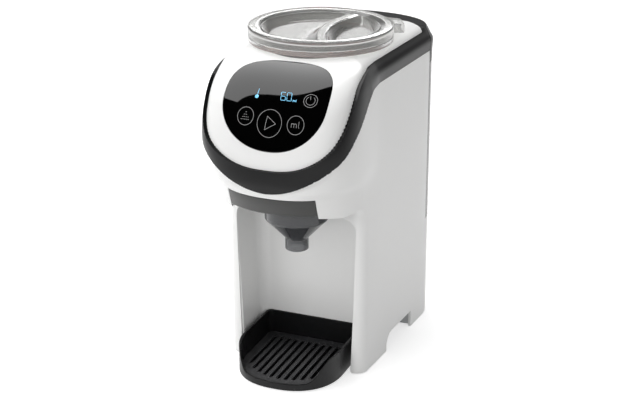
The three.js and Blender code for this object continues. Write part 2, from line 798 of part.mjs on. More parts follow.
// Powder lid: bayonet ring, sunk dish with two finger scoops and the web between them, ear at the side
const lidZ = rimTopZ + touchGap;
const lidSkirt = 2.3;
const annulusInner = 57.2;
const annulusThick = 2.4;
const dishRadius = 53.5;
const dishSink = 10.8; // from the lid's top down to the underside of its dish
const dishZ = lidTopZ - dishSink;
const lidPlugDepth = 5.5;
const webHalf = 1.6;
const webReach = 50;
const webBend = 105; // radius of the web's curve
const webX = 3; // how far the web's middle stands right of the lid's axis
const webTurn = -12;
const earReach = 9.7; // how far the ear stands out of the lid
const earWall = 3;
const earStart = 22.5; // angles about the lid's axis, in degrees from the right towards the back
const earFull = 36;
const earEnd = 48;

// A sector in plan between two radii, tapering back towards the inner one at its end.
function earOutline(inner, outer, start, full, end) {
  const at = (radius, degrees) => {
    const angle = THREE.MathUtils.degToRad(degrees);
    return [radius * Math.cos(angle), hopperY + radius * Math.sin(angle)];
  };
  const steps = 6;
  const points = [at(inner, start)];
  for (let i = 0; i <= steps; i += 1) points.push(at(outer, start + ((full - start) * i) / steps));
  for (let i = 1; i <= steps; i += 1) {
    const share = i / steps;
    const blend = (1 + Math.cos(Math.PI * share)) / 2;
    points.push(at(inner + touchGap + (outer - inner - touchGap) * blend, full + (end - full) * share));
  }
  for (let i = 0; i < steps; i += 1) points.push(at(inner, end + ((start - end) * i) / steps));
  return points;
}

function powderLid() {
  const top = turned(
    [[0, dishZ], [dishRadius, dishZ], [annulusInner, lidTopZ - annulusThick],
      [lidRadius - lidSkirt, lidTopZ - annulusThick], [lidRadius - lidSkirt, lidZ],
      [lidRadius, lidZ], [lidRadius, lidTopZ], [annulusInner - lidSkirt, lidTopZ],
      [dishRadius - lidSkirt, dishZ + annulusThick], [0, dishZ + annulusThick]],
    0, hopperY, 52,
  );
  const plug = turned(
    [[annulusInner - lidSkirt, lidZ - lidPlugDepth], [annulusInner, lidZ - lidPlugDepth],
      [annulusInner, lidTopZ - annulusThick / 2],
      [annulusInner - lidSkirt, lidTopZ - annulusThick / 2]],
    0, hopperY, 52,
  );
  const bendX = webX + webBend;
  const web = turned(
    [[webBend - webHalf, dishZ + annulusThick / 2], [webBend + webHalf, dishZ + annulusThick / 2],
      [webBend + webHalf, lidTopZ - touchGap], [webBend - webHalf, lidTopZ - touchGap]],
    bendX, 0, 96,
  ).intersect(rod(0, 0, webReach, dishZ, lidTopZ, 52));
  const turnedWeb = web.rotate(0, 0, webTurn).translate(0, hopperY, 0);
  const earRadius = lidRadius + earReach;
  const wallTurn = THREE.MathUtils.radToDeg(earWall / earRadius);
  const ear = prism(
    earOutline(lidRadius - lidSkirt / 2, earRadius, earStart, earFull, earEnd), lidZ, lidTopZ - touchGap,
  );
  const slot = prism(
    earOutline(lidRadius + touchGap, earRadius - earWall, earStart + wallTurn, earFull, earFull + wallTurn),
    lidZ - overrun, lidTopZ - earWall,
  );
  return cut(join(top, plug, turnedWeb, ear), slot);
}

// Seal ring that sits round the lid's plug, inside the container's mouth
function lidSeal() {
  const z = lidZ - lidPlugDepth + touchGap;
  const inner = annulusInner + touchGap;
  const outer = containerRadius - containerWall - touchGap;
  return turned([[inner, z], [outer, z], [outer, z + wall], [inner, z + wall]], 0, hopperY, 44);
}

// Water tank: a crescent cup behind the housing
const tankWall = 2.2;
const capSkirt = 12; // how far the cap's skirt hangs below the trim band
const tankTopZ = trimSideZ - capSkirt;
const tankGap = 0.5;
const valveY = 134;
const dockY = valveY;
const dockRadius = 9;
const valveRadius = 6;
const hingeBack = 4.5; // from the housing's back to the lid's hinge
const hingeDrop = 8.4; // from the tank's rim down to the hinge
const hingeY = rearY + rearDepth + hingeBack;
const hingeZ = tankTopZ - hingeDrop;
const hingeRadius = 2;
const lugRadius = 4.2;
const lugHalf = 5;
const lugGap = 0.5;
const cageRadius = 11;
const cageHeight = 19;

function crescent(inset, fromZ, toZ) {
  const base = bodyShares[0];
  const flat = [[fromZ / deckEdgeZ, ...base.slice(1)], [toZ / deckEdgeZ, ...base.slice(1)]];
  return envelope(flat, inset).intersect(tankSpace(tankFloorZ - overrun, -tankGap - inset));
}

function waterTank() {
  const bottom = tankFloorZ + tankGap;
  const cup = cut(
    crescent(0, bottom, tankTopZ),
    crescent(tankWall, bottom + tankWall, tankTopZ + overrun),
  );
  const inner = crescent(tankWall, bottom + tankWall, tankTopZ + overrun);
  const lugs = [-1, 1].map((side) => {
    const x = side * (lugHalf * 2 + lugGap);
    const arm = block([x - lugHalf, x + lugHalf], [hingeY - lugRadius - tankWall, hingeY],
      [hingeZ - lugRadius, hingeZ + lugRadius / 2]);
    return cut(barAlongX(x - lugHalf, x + lugHalf, lugRadius, hingeY, hingeZ).add(arm), inner);
  });
  const cageTop = bottom + cageHeight;
  const cage = turned(
    [[valveRadius + wall + slideGap, bottom + tankWall / 2], [cageRadius, bottom + tankWall / 2],
      [cageRadius, cageTop], [poppetStem + slideGap, cageTop],
      [poppetStem + slideGap, cageTop - tankWall],
      [valveRadius + wall + slideGap, cageTop - tankWall]],
    0, valveY, 24,
  );
  const windows = [[cageRadius * 2, cageRadius / 2], [cageRadius / 2, cageRadius * 2]].map(
    ([x, y]) => block([-x, x], [valveY - y, valveY + y],
      [bottom + tankWall * 1.5, cageTop - tankWall]),
  );
  return cut(
    join(cup, cut(cage, ...windows), ...lugs),
    barAlongX(-lugHalf * 4, lugHalf * 4, hingeRadius + touchGap, hingeY, hingeZ),
    rod(0, valveY, valveRadius + slideGap, bottom - overrun / 2, bottom + tankWall, 24),
  );
}

function hingePin() {
  const half = lugHalf * 3 + lugGap;
  return barAlongX(-half, half, hingeRadius, hingeY, hingeZ);
}

// Black tank lid: continues the trim band round the back
const lipDrop = 5;
const lipWall = 1.6;

function tankLid() {
  const rows = trimShares.filter(([height]) => height * deckEdgeZ > tankTopZ);
  const foot = [(tankTopZ + touchGap) / deckEdgeZ, ...rows[0].slice(1)];
  const below = [foot[0] / 2, ...rows[0].slice(1)];
  const skin = envelope([foot, ...rows], 0).intersect(tankSpace(tankFloorZ, -tankGap));
  const hollow = envelope([below, ...rows], trimWall * 0.75).intersect(
    tankSpace(tankFloorZ, -tankGap - trimWall * 0.75),
  );
  const inset = tankWall + slideGap;
  const lipBottom = tankTopZ - lipDrop;
  const lipTop = tankTopZ + lipDrop;
  const lipFront = block([-rearHalf, rearHalf], [0, valveY - lipDrop], [0, deckEdgeZ]);
  const lip = cut(
    crescent(inset, lipBottom, lipTop),
    crescent(inset + lipWall, lipBottom - overrun / 2, lipTop + overrun / 2),
  ).intersect(lipFront).intersect(envelope([below, foot, ...rows], lipWall));
  const half = lugHalf - lugGap / 2;
  const knuckle = barAlongX(-half, half, lugRadius, hingeY, hingeZ);
  const arm = block([-half, half], [hingeY - lugRadius / 2, hingeY + lugRadius],
    [hingeZ, tankTopZ + trimWall * 2]);
  const bridge = block([-half, half], [hingeY - lugRadius * 3, hingeY + lugRadius],
    [tankTopZ + trimWall, tankTopZ + trimWall * 2]);
  const bore = barAlongX(-lugHalf * 3, lugHalf * 3, hingeRadius + touchGap, hingeY, hingeZ);
  return cut(join(cut(skin, hollow), lip, arm, bridge, knuckle), bore);
}

// Valve in the tank's floor: sprung poppet, coil spring and the docking seat in the ledge
const poppetStem = 2.4;
const poppetTop = 12;
const springTurns = 4;
const springWire = 0.8;
const springCoil = 4.2;

function valvePoppet() {
  const z = tankFloorZ + tankGap;
  return turned(
    [[0, z - tankWall / 2], [poppetStem, z - tankWall / 2], [poppetStem, z + tankWall + touchGap],
      [valveRadius + wall, z + tankWall + touchGap], [valveRadius + wall, z + tankWall * 2],
      [poppetStem, z + tankWall * 2], [poppetStem, z + poppetTop], [0, z + poppetTop]],
    0, valveY, 20,
  );
}

function valveSpring() {
  const z0 = tankFloorZ + tankGap + tankWall * 2 + springWire + touchGap;
  const z1 = tankFloorZ + tankGap + cageHeight - tankWall - springWire;
  const points = [];
  const steps = springTurns * 8;
  for (let i = 0; i <= steps; i += 1) {
    const angle = (Math.PI * 2 * springTurns * i) / steps;
    const z = z0 + ((z1 - z0) * i) / steps;
    points.push([springCoil * Math.cos(angle), valveY + springCoil * Math.sin(angle), z]);
  }
  return hose(points, springWire / 2, steps);
}

function dockSeat() {
  const top = tankFloorZ - touchGap;
  return turned(
    [[hoseRadius, top - wall * 5], [hoseRadius + wall, top - wall * 5],
      [hoseRadius + wall, top - wall * 2], [dockRadius, top - wall * 2], [dockRadius, top],
      [hoseRadius, top]],
    0, dockY, 24,
  );
}

// Water path behind the bay: pump, heater and the three hoses
const hoseRadius = 3.6;
const hoseDropX = 0;
const hoseDropY = -78;
const pumpX = -34;
const pumpY = 52;
const pumpZ = 44;
const pumpRadius = 15;
const pumpLength = 44;
const pumpPort = 5;
const heaterX = 30;
const heaterY = 44;
const heaterHalf = 20;
const heaterDeep = 11;
const heaterZ = 66;
const heaterTall = 90;
const grooveCount = 5;
const portLength = 8;

function waterPump() {
  const half = pumpLength / 2;
  const body = turnedAlongX(
    [[0, -half], [pumpRadius * 0.7, -half], [pumpRadius, -half + wall], [pumpRadius, half - wall],
      [pumpRadius * 0.7, half], [0, half]],
    pumpY, pumpZ, 24,
  ).translate(pumpX, 0, 0);
  const ports = [-1, 1].map((side) =>
    rod(pumpX + (side * pumpLength) / 4, pumpY, pumpPort, pumpZ, pumpZ + pumpRadius + portLength, 16),
  );
  return join(body, ...ports);
}

function pumpCradle() {
  const low = archTopZ + touchGap + plateWall + touchGap;
  const saddle = block(
    [pumpX - pumpLength / 3, pumpX + pumpLength / 3],
    [pumpY - pumpRadius - wall, pumpY + pumpRadius + wall],
    [low, pumpZ - pumpRadius / 3],
  );
  const seat = turnedAlongX(
    [[0, -pumpLength], [pumpRadius + touchGap, -pumpLength], [pumpRadius + touchGap, pumpLength],
      [0, pumpLength]],
    pumpY, pumpZ, 24,
  ).translate(pumpX, 0, 0);
  return cut(saddle, seat);
}

function heaterBlock() {
  const body = block([heaterX - heaterHalf, heaterX + heaterHalf],
    [heaterY - heaterDeep, heaterY + heaterDeep], [heaterZ, heaterZ + heaterTall]);
  const ports = [-1, 1].map((side) => {
    const x = heaterX + (side * heaterHalf) / 2;
    const top = heaterZ + heaterTall;
    return rod(x, heaterY, pumpPort, top - wall, top + portLength, 16);
  });
  const grooveStep = heaterTall / (grooveCount + 1);
  const grooves = [];
  for (let i = 1; i <= grooveCount; i += 1) {
    const z = heaterZ + grooveStep * i;
    grooves.push(block([heaterX - heaterHalf + wall, heaterX + heaterHalf - wall],
      [heaterY - heaterDeep - wall, heaterY - heaterDeep + wall / 2], [z, z + grooveStep / 3]));
  }
  return cut(join(body, ...ports), ...grooves);
}

function heaterStand() {
  const low = archTopZ + touchGap + plateWall + touchGap;
  const post = block([heaterX - heaterHalf / 2, heaterX + heaterHalf / 2],
    [heaterY - heaterDeep / 2, heaterY + heaterDeep / 2], [low, heaterZ - touchGap]);
  const foot = block([heaterX - heaterHalf, heaterX + heaterHalf],
    [heaterY - heaterDeep, heaterY + heaterDeep], [low, low + wall]);
  return post.add(foot);
}

const powerX = 24;
const powerHalf = 30;
const powerY = 84;
const powerTall = 60;

function powerBoard() {
  const low = archTopZ + touchGap + plateWall + touchGap;
  const z0 = low - archTopZ + touchGap + wall;
  const sheet = block([powerX - powerHalf, powerX + powerHalf], [powerY, powerY + boardThick],
    [z0, z0 + powerTall]);
  const transformer = block([powerX - powerHalf / 2, powerX + powerHalf / 4],
    [powerY + boardThick - touchGap, powerY + powerHalf / 2 + boardThick],
    [z0 + powerTall / 2, z0 + powerTall * 0.9]);
  const capacitor = rod(powerX + powerHalf / 1.6, powerY + powerHalf / 4, powerHalf / 5,
    z0 + powerTall / 2, z0 + powerTall * 0.9, 16);
  return join(sheet, transformer, capacitor);
}

function hoses() {
  const portZ = pumpZ + pumpRadius + portLength + touchGap;
  const heaterTop = heaterZ + heaterTall + portLength + touchGap;
  const dockBottom = tankFloorZ - touchGap - wall * 5 - touchGap;
  const radius = hoseRadius;
  const left = pumpX - pumpLength / 4;
  const right = pumpX + pumpLength / 4;
  const feedIn = heaterX - heaterHalf / 2;
  const feedOut = heaterX + heaterHalf / 2;
  const rise = wall * 4;
  const tankHose = hose(
    [[0, dockY, dockBottom], [0, dockY, dockBottom - rise], [left / 2, powerY + rise * 2, portZ + rise],
      [left, pumpY + rise, portZ + rise * 1.4], [left, pumpY, portZ + rise / 2], [left, pumpY, portZ]],
    radius, 22,
  );
  const pumpHose = hose(
    [[right, pumpY, portZ], [right, pumpY, portZ + rise],
      [right, pumpY + rise, heaterTop - rise * 2], [(right + feedIn) / 2, pumpY + rise / 2, heaterTop + rise],
      [feedIn, heaterY, heaterTop + rise / 2], [feedIn, heaterY, heaterTop]],
    radius, 24,
  );
  const mixHose = hose(
    [[feedOut, heaterY, heaterTop], [feedOut, heaterY, heaterTop + rise],
      [feedOut + rise / 2, heaterY - heaterHalf * 2, highBossZ - rise * 2],
      [railHalf, noseY - rise / 2, highBossZ - rise],
      [spoutRadius * 2.5, hoseDropY, highBossZ - rise],
      [nozzleRadius + touchGap, hoseDropY, highBossZ - rise]],
    radius * 0.7, 26,
  );
  return { tankHose, pumpHose, mixHose };
}

// Dispense block under the chassis: powder chute and the seat of the water nozzle
const blockHalf = 24;
const blockFrontY = -88;
const blockRearY = -24;
const blockBottomZ = 198;
const nozzleRadius = 5;
const nozzleBore = 2;

function dispenseBlock() {
  const body = block([-blockHalf, blockHalf], [blockFrontY, blockRearY],
    [blockBottomZ, chassisZ - touchGap]);
  const chute = turned(
    [[0, blockBottomZ - overrun], [spoutRadius, blockBottomZ - overrun],
      [spoutRadius, blockBottomZ], [spoutRadius * 1.3, chassisZ + overrun / 3],
      [0, chassisZ + overrun / 3]],
    0, hopperY - outletReach, 28,
  );
  const seat = rod(0, hoseDropY, nozzleRadius + touchGap, 0, deckEdgeZ, 20);
  const hosePort = block([nozzleRadius / 2, blockHalf + overrun],
    [hoseDropY - nozzleRadius, hoseDropY + nozzleRadius],
    [blockBottomZ + wall, chassisZ - wall]);
  return cut(body, chute, seat, hosePort);
}

function waterNozzle() {
  const top = chassisZ - touchGap * 2;
  return turned(
    [[nozzleBore, blockBottomZ - wall], [nozzleRadius * 0.7, blockBottomZ - wall],
      [nozzleRadius, blockBottomZ + touchGap], [nozzleRadius, top], [nozzleBore, top]],
    0, hoseDropY, 20,
  );
}

// Funnel drawer: curved front, tray with side walls, and a collar round the funnel's hole
const collarWall = 2.6;
const collarDrop = 3.9; // how far the collar hangs below the drawer's floor

function funnelDrawer() {
  const front = cut(envelope(bodyShares, 0), envelope(bodyShares, wall)).intersect(
    block([-drawerHalf, drawerHalf], [apexY - overrun, noseY - funnelTopRadius],
      [drawerFloorZ, drawerTopZ]),
  );
  const floorTop = drawerFloorZ + wall;
  const inside = envelope(bodyShares, wall / 2);
  const floor = block([-railHalf, railHalf], [apexY, drawerRearY], [drawerFloorZ, floorTop]);
  const sides = [-1, 1].map((side) => {
    const x = side * (railHalf - wall / 2);
    return block([x - wall / 2, x + wall / 2], [apexY, drawerRearY],
      [drawerFloorZ, drawerFloorZ + wall * 4]);
  });
  const back = block([-railHalf, railHalf], [drawerRearY - wall, drawerRearY],
    [drawerFloorZ, drawerFloorZ + wall * 4]);
  const tray = join(floor, ...sides, back).intersect(inside);
  const collar = rod(0, noseY, funnelTopRadius + collarWall, drawerFloorZ - collarDrop, floorTop, 40);
  const hole = rod(0, noseY, funnelTopRadius + slideGap, 0, floorTop + slideGap, 40);
  return cut(join(front, tray, collar), hole);
}

const funnelWall = 1.8;
const funnelFlange = 3.2;

function funnel() {
  const flangeZ = drawerFloorZ + wall + touchGap;
  const outer = funnelTopRadius;
  return turned(
    [[spoutRadius, spoutBottomZ], [spoutRadius, spoutTopZ], [outer, coneTopZ],
      [outer, flangeZ], [outer + funnelFlange, flangeZ],
      [outer + funnelFlange, flangeZ + funnelWall], [outer - funnelWall, flangeZ + funnelWall],
      [outer - funnelWall, coneTopZ + funnelWall * 0.4],
      [spoutRadius - funnelWall, spoutTopZ + funnelWall * 0.4],
      [spoutRadius - funnelWall, spoutBottomZ]],
    0, noseY, 36,
  );
}

function drawerRail(side) {
  const inner = railHalf + slideGap;
  const low = noseFloorZ + wall + touchGap;
  const xs = [side * inner, side * (inner + wall)].sort((a, b) => a - b);
  const rail = block(xs, [noseY - noseReach / 2, drawerRearY + wall], [low, drawerTopZ - wall]);
  const lip = block([side * (slotHalf + touchGap), side * (inner + wall)].sort((a, b) => a - b),
    [noseY - noseReach / 2, drawerRearY + wall], [low, drawerFloorZ - touchGap]);
  const shelf = block([side * (slotHalf + touchGap), side * (inner + wall)].sort((a, b) => a - b),
    [drawerRearY - wall, drawerRearY + wall], [bayTopZ + wall + touchGap, low + wall / 2]);
  return join(rail, lip, shelf);
}

// Drip tray: a shallow D-shaped dish between the pillars, high at the sides and dipped at the front
const trayFloor = 1.6;
const trayFloorZ = trayBottomZ + trayFloor;
const gridDrip = 1.8; // room for drops between the tray's floor and the grid
const gridZ = trayFloorZ + gridDrip;
const gridThick = 2;
const gridLedge = 3;
const trayRearY = bayBackY - touchGap; // the tray docks against the bay's back wall
const traySteps = 28;
// The dip in the tray's front rim: [share of the half width, share of the drop].
const dipShares = [
  [0.55, 0], [0.62, 0.05], [0.7, 0.2], [0.76, 0.45], [0.82, 0.75], [0.87, 0.93], [0.92, 1.15],
];

function trayOutline(inset, rearInset = inset) {
  const r = trayHalf - inset;
  const points = [[-r, trayRearY - rearInset]];
  for (let i = 0; i <= traySteps; i += 1) {
    const angle = Math.PI * (1 + i / traySteps);
    points.push([
      r * softPower(Math.cos(angle), trayPower),
      trayY + r * softPower(Math.sin(angle), trayPower),
    ]);
  }
  points.push([r, trayRearY - rearInset]);
  return points;
}

function dripTray() {
  const outer = prism(trayOutline(0), trayBottomZ, trayRimZ);
  const wellCut = prism(trayOutline(trayWall + gridLedge), trayFloorZ, trayRimZ + overrun);
  const upper = prism(trayOutline(trayWall), gridZ - touchGap, trayRimZ + overrun);
  const right = dipShares.map(([across, up]) => [
    trayHalf * across,
    trayDipZ + (trayRimZ - trayDipZ) * up,
  ]);
  const left = right.map(([x, z]) => [-x, z]).reverse();
  const dip = prism([...left, ...right], -trayY + trayWall, -trayY + trayHalf + overrun, "XZ");
  return cut(outer, wellCut, upper, dip);
}

const slatCount = 11;
const slatSlot = 3.4;

function trayGrid() {
  const plate = prism(trayOutline(trayWall + slideGap), gridZ, gridZ + gridThick);
  const reach = trayHalf - trayWall - gridLedge * 2;
  const pitch = (reach * 2) / (slatCount + 1);
  const slots = [];
  for (let i = 1; i <= slatCount; i += 1) {
    const x = -reach + pitch * i;
    const depth = Math.sqrt(Math.max(reach * reach - x * x, 0));
    slots.push(block([x - slatSlot / 2, x + slatSlot / 2],
      [trayY - depth + gridLedge, trayRearY - gridLedge * 4], [gridZ - overrun, gridZ + overrun]));
  }
  return cut(plate, ...slots);
}

// Micro switch that senses the powder container, beside the well
const switchHalf = 6;
const switchDeep = 10;
const switchTall = 14;

function containerSwitch() {
  const x = wellRadius + wall + touchGap;
  const z = wellFloorZ;
  return block([-switchDeep / 2, switchDeep / 2], [hopperY + x, hopperY + x + switchHalf],
    [z, z + switchTall]);
}

const housing = new THREE.Group();
const head = new THREE.Group();
const rear = new THREE.Group();
const front = new THREE.Group();
group.add(housing, head, rear, front);

piece(housing, "body_shell", bodyShell(), white);
piece(housing, "base_plate", basePlate(), grey);
piece(housing, "bay_liner", bayLiner(), white);
piece(housing, "trim_band", trimBand(), black);
piece(housing, "chassis_plate", chassisPlate(), grey);
piece(housing, "dispense_block", dispenseBlock(), grey);
piece(housing, "water_nozzle", waterNozzle(), smoke);
piece(housing, "mains_inlet", mainsInlet(), black);
for (const [side, name] of [[-1, "left"], [1, "right"]]) {
  const front = [side * frontFootX, frontFootY, 0];
  const back = [side * rearFootX, rearFootY, 0];
  piece(housing, `foot_front_${name}`, foot(pillarFootRadius), rubber, front);
  piece(housing, `foot_rear_${name}`, foot(footRadius), rubber, back);
}
bossPlaces.forEach(([x, y], i) => {
  piece(housing, `base_screw_${i + 1}`, screw(), steel, [x, y, footHeight]);
  const down = screw().rotate(180, 0, 0);
  piece(housing, `chassis_screw_${i + 1}`, down, steel, [x, y, chassisZ + chassisWall + touchGap]);
});
piece(head, "top_cover", topCover(), white);
piece(head, "display_window", displayWindow(), black);
piece(head, "display_board", displayBoard(), board);
piece(head, "container_well", containerWell(), grey);
piece(head, "container_switch", containerSwitch(), black);
piece(head, "stir_motor", stirMotor(), steel);
piece(head, "drive_coupling", driveCoupling(), grey);
piece(head, "powder_container", powderContainer(), clear);
piece(head, "stirring_wheel", stirringWheel(), coral);
piece(head, "powder_lid", powderLid(), clear);
piece(head, "lid_seal", lidSeal(), rubber);
piece(rear, "water_tank", waterTank(), smoke);
piece(rear, "tank_lid", tankLid(), black);
piece(rear, "tank_hinge_pin", hingePin(), steel);
piece(rear, "valve_poppet", valvePoppet(), white);
piece(rear, "valve_spring", valveSpring(), steel);
piece(rear, "dock_seat", dockSeat(), rubber);
piece(rear, "water_pump", waterPump(), grey);
piece(rear, "pump_cradle", pumpCradle(), rubber);
piece(rear, "heater_block", heaterBlock(), steel);
piece(rear, "heater_stand", heaterStand(), grey);
piece(rear, "power_board", powerBoard(), board);
const { tankHose, pumpHose, mixHose } = hoses();
piece(rear, "tank_hose", tankHose, clear);
piece(rear, "pump_hose", pumpHose, clear);
piece(rear, "mix_hose", mixHose, clear);
piece(front, "funnel_drawer", funnelDrawer(), smoke);
piece(front, "funnel", funnel(), smoke);
piece(front, "drawer_rail_left", drawerRail(-1), grey);
piece(front, "drawer_rail_right", drawerRail(1), grey);
piece(front, "drip_tray", dripTray(), black);
piece(front, "tray_grid", trayGrid(), black);

const bounds = new THREE.Box3().setFromObject(group);
group.position.set(0, -(bounds.min.y + bounds.max.y) / 2, 0);

export default group;
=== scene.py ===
import math

import bpy
import numpy as np
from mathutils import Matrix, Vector


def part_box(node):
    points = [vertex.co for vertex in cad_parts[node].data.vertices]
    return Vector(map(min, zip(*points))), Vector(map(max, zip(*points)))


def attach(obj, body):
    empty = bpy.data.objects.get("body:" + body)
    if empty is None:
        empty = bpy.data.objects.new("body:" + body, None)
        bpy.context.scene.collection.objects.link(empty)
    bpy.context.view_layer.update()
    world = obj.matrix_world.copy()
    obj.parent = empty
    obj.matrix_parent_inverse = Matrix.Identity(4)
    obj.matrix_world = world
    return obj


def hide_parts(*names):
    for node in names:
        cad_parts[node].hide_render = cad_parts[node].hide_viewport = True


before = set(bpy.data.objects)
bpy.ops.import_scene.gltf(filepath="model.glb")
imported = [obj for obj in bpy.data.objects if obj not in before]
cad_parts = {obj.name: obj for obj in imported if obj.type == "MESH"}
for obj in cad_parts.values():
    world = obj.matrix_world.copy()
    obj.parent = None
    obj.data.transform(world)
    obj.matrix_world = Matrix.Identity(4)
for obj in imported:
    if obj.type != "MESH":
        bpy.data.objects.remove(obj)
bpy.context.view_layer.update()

bl_info = {
    "name": "Formula Maker",
    "version": (1, 0, 0),
    "blender": (4, 5, 0),
    "location": "View3D > Sidebar > Formula Maker",
    "description": "Dresses the formula maker's frame with moulded shells, clear parts and a stage",
    "category": "Object",
}

MM = 0.001

# Where the frame has the main parts. The places below start from these.
NOSE_Y = sum(corner.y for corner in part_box("funnel")) / 2
HOPPER_Y = sum(corner.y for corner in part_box("powder_container")) / 2
BODY_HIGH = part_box("body_shell")[1]
LID_LOW, LID_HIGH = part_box("powder_lid")
RIM_LOW, RIM_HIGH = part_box("powder_container")
TRAY_LOW, TRAY_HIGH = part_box("drip_tray")
GRID_LOW, GRID_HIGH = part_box("tray_grid")
FUNNEL_LOW, FUNNEL_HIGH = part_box("funnel")
TANK_LOW, TANK_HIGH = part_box("water_tank")
WELL_LOW, WELL_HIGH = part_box("container_well")
DRAWER_LOW, DRAWER_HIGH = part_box("funnel_drawer")
PIN_Y, PIN_Z = (sum(corner[axis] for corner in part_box("tank_hinge_pin")) / 2 for axis in (1, 2))

# Housing: a rounded nose, flat sides that widen to the back, and a rounded back
NOSE_HALF = 70 * MM
NOSE_REACH = 72 * MM
SHOULDER_Y = NOSE_Y + 27 * MM
REAR_HALF = BODY_HIGH.x
REAR_DEPTH = 48 * MM
REAR_Y = BODY_HIGH.y - REAR_DEPTH
REAR_POWER = 2.3
DECK_EDGE_Z = 306 * MM
TRIM_SIDE_Z = 285 * MM
TRIM_TOP_Z = 304 * MM
TRIM_FRONT_Z = 201 * MM
FACE_FRONT_Z = 223 * MM
UPPER_KINK_Y = NOSE_Y + 10 * MM
APEX_Y = NOSE_Y - NOSE_REACH
SEAM = 0.3 * MM
FAR = 80 * MM  # how far a large cutting shape runs past what it cuts
PAST = 9 * MM  # and how far a small one does
MERGE = 0.01 * MM  # points nearer than this are one
SLIVER = 0.08 * MM  # an edge shorter than this is cleaned away before a bevel
FLAT = math.radians(0.02)  # faces that turn less than this are one
SHARP = 38  # degrees; an edge that turns more is bevelled, or stays sharp
TURNED_SHARP = 35

# Base, bay and ledges
PILLAR_Y = NOSE_Y - 4 * MM
NOSE_FLOOR_Z = 172 * MM
BAY_HALF = 57 * MM
BAY_FLARE = 0.66  # part of its width that the doorway gains in each metre of height
BAY_HALF_Z = 40 * MM  # height at which it is as wide as its half width says
BAY_TOP_Z = 162 * MM
BAY_BACK_Y = NOSE_Y + 47 * MM
LINER_FOOT_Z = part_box("bay_liner")[0].z
ARCH_FRONT_Y = NOSE_Y + 53 * MM
ARCH_REAR_Y = NOSE_Y + 116 * MM
ARCH_TOP_Z = 18.5 * MM
TANK_FLOOR_Z = 108 * MM
TANK_FRONT_Y = NOSE_Y + 150 * MM
TANK_BULGE = 14 * MM
STRIP_DEEP = 5 * MM  # black strip across the back, between the deck and the tank
STRIP_CORNER = 13 * MM
STRIP_CORNER_POWER = 8
THROAT_ROUND = 24 * MM
THROAT_RISE = 0.16
PILLAR_ROUND = 11 * MM
DOOR_ROUND = 15 * MM
CHUTE_HALF = 35 * MM  # opening in the nose floor through which powder and water fall
CHUTE_REAR_Y = NOSE_Y + CHUTE_HALF
DRAWER_CUT_Y = NOSE_Y - 32 * MM
UNDER = 30 * MM  # how far the cuts for chute, drawer and dock reach below their floor
OUTLET_Y = HOPPER_Y - 48 * MM
HINGE_RADIUS = 4.2 * MM
PIN_BORE = 2.3 * MM
TANK_GAP = 0.5 * MM

# Display: its tilted plane, and its glass
WINDOW_TILT = math.pi / 4
WINDOW_Y = NOSE_Y - 42 * MM
WINDOW_Z = 274 * MM
WINDOW_OFF_X = 1.3 * MM
POCKET_DEEP = 1.6 * MM
GLASS_THICK = 1.3 * MM
ABOVE_GLASS = 60 * MM
INK_HIGH = 0.08 * MM

# Points round the housing's outline
REAR_POINTS = 26
SIDE_POINTS = 10
BRIDGE_POINTS = 5
NOSE_POINTS = 44

# Rows of the skins, as shares: height of DECK_EDGE_Z, half width of NOSE_HALF, reach of NOSE_REACH,
# squareness, upward lean, and of NOSE_HALF the side's standing out, nose's way back, back's way in.
BODY_SHARES = [
    (0.0033, 0.993, 0.833, 2.2, 0, 0, 0, 0),
    (0.5621, 0.993, 0.833, 2.2, 0, 0, 0, 0),
    (0.5817, 0.993, 0.875, 2.2, 0, 0, 0, 0),
    (0.6405, 1, 0.98, 2.2, 0, 0, 0, 0),
    (0.6634, 1.02, 1, 2.6, 0, 0, 0, 0),
    (0.6993, 1.035, 1, 2.9, 0, 0, 0, 0),
    (0.7582, 1.035, 1, 3.6, 0, 0, 0, 0),
    (0.817, 1.03, 0.97, 4, 0, 0, 0, 0),
    (0.9477, 1.02, 0.85, 4, 0, 0, 0, 0),
]
TRIM_SHARES = [
    (0.6503, 1.021, 1, 2.5, 0, 0, 0, 0),
    (0.6634, 1.036, 1.014, 2.6, 0, 0, 0, 0),
    (0.6928, 1.057, 1.042, 3, 0, 0, 0, 0),
    (0.732, 1.071, 1.032, 3.5, 0, 0, 0, 0),
    (0.7843, 1.086, 1.008, 4.2, 0.15, 0, 0, 0),
    (0.8366, 1.086, 0.951, 4.5, 0.33, 0, 0, 0),
    (0.8889, 1.08, 0.847, 4.6, 0.5, 0, 0, 0),
    (0.9314, 1.064, 0.729, 4.6, 0.6, 0.004, 0, 0),
    (0.9608, 1.043, 0.597, 4.4, 0.75, 0.012, 0, 0),
    (0.9804, 1.011, 0.458, 4.2, 0.85, -0.036, 0, 0),
    (0.9951, 0.976, 0.306, 4, 0.95, -0.074, 0, 0),
    (1.0033, 0.95, 0.194, 4, 1, -0.1, 0, 0),
]
FACE_SHARES = [
    (0.7124, 1.021, 1.003, 3, 0, -0.03, 0, 0),
    (0.7516, 1.036, 0.994, 3.6, 0.1, -0.03, 0, 0),
    (0.7941, 1.043, 0.969, 4.2, 0.2, -0.03, 0, 0),
    (0.8333, 1.043, 0.924, 4.4, 0.33, -0.03, 0, 0),
    (0.8725, 1.037, 0.854, 4.5, 0.45, -0.03, 0, 0),
    (0.915, 1.026, 0.75, 4.5, 0.6, -0.03, 0, 0),
    (0.9477, 1.011, 0.618, 4.3, 0.75, -0.03, 0, 0),
    (0.9739, 0.986, 0.451, 4.1, 0.88, -0.05, 0, 0),
    (0.9918, 0.961, 0.278, 4, 0.95, -0.08, 0, 0),
    (1.0016, 0.936, 0.125, 4, 1, -0.107, 0, 0.03),
    (1.0098, 0.857, 0.03, 4, 1, -0.186, 0.057, 0.12),
    (1.0157, 0.72, 0.02, 4, 1, -0.34, 0.2, 0.3),
]
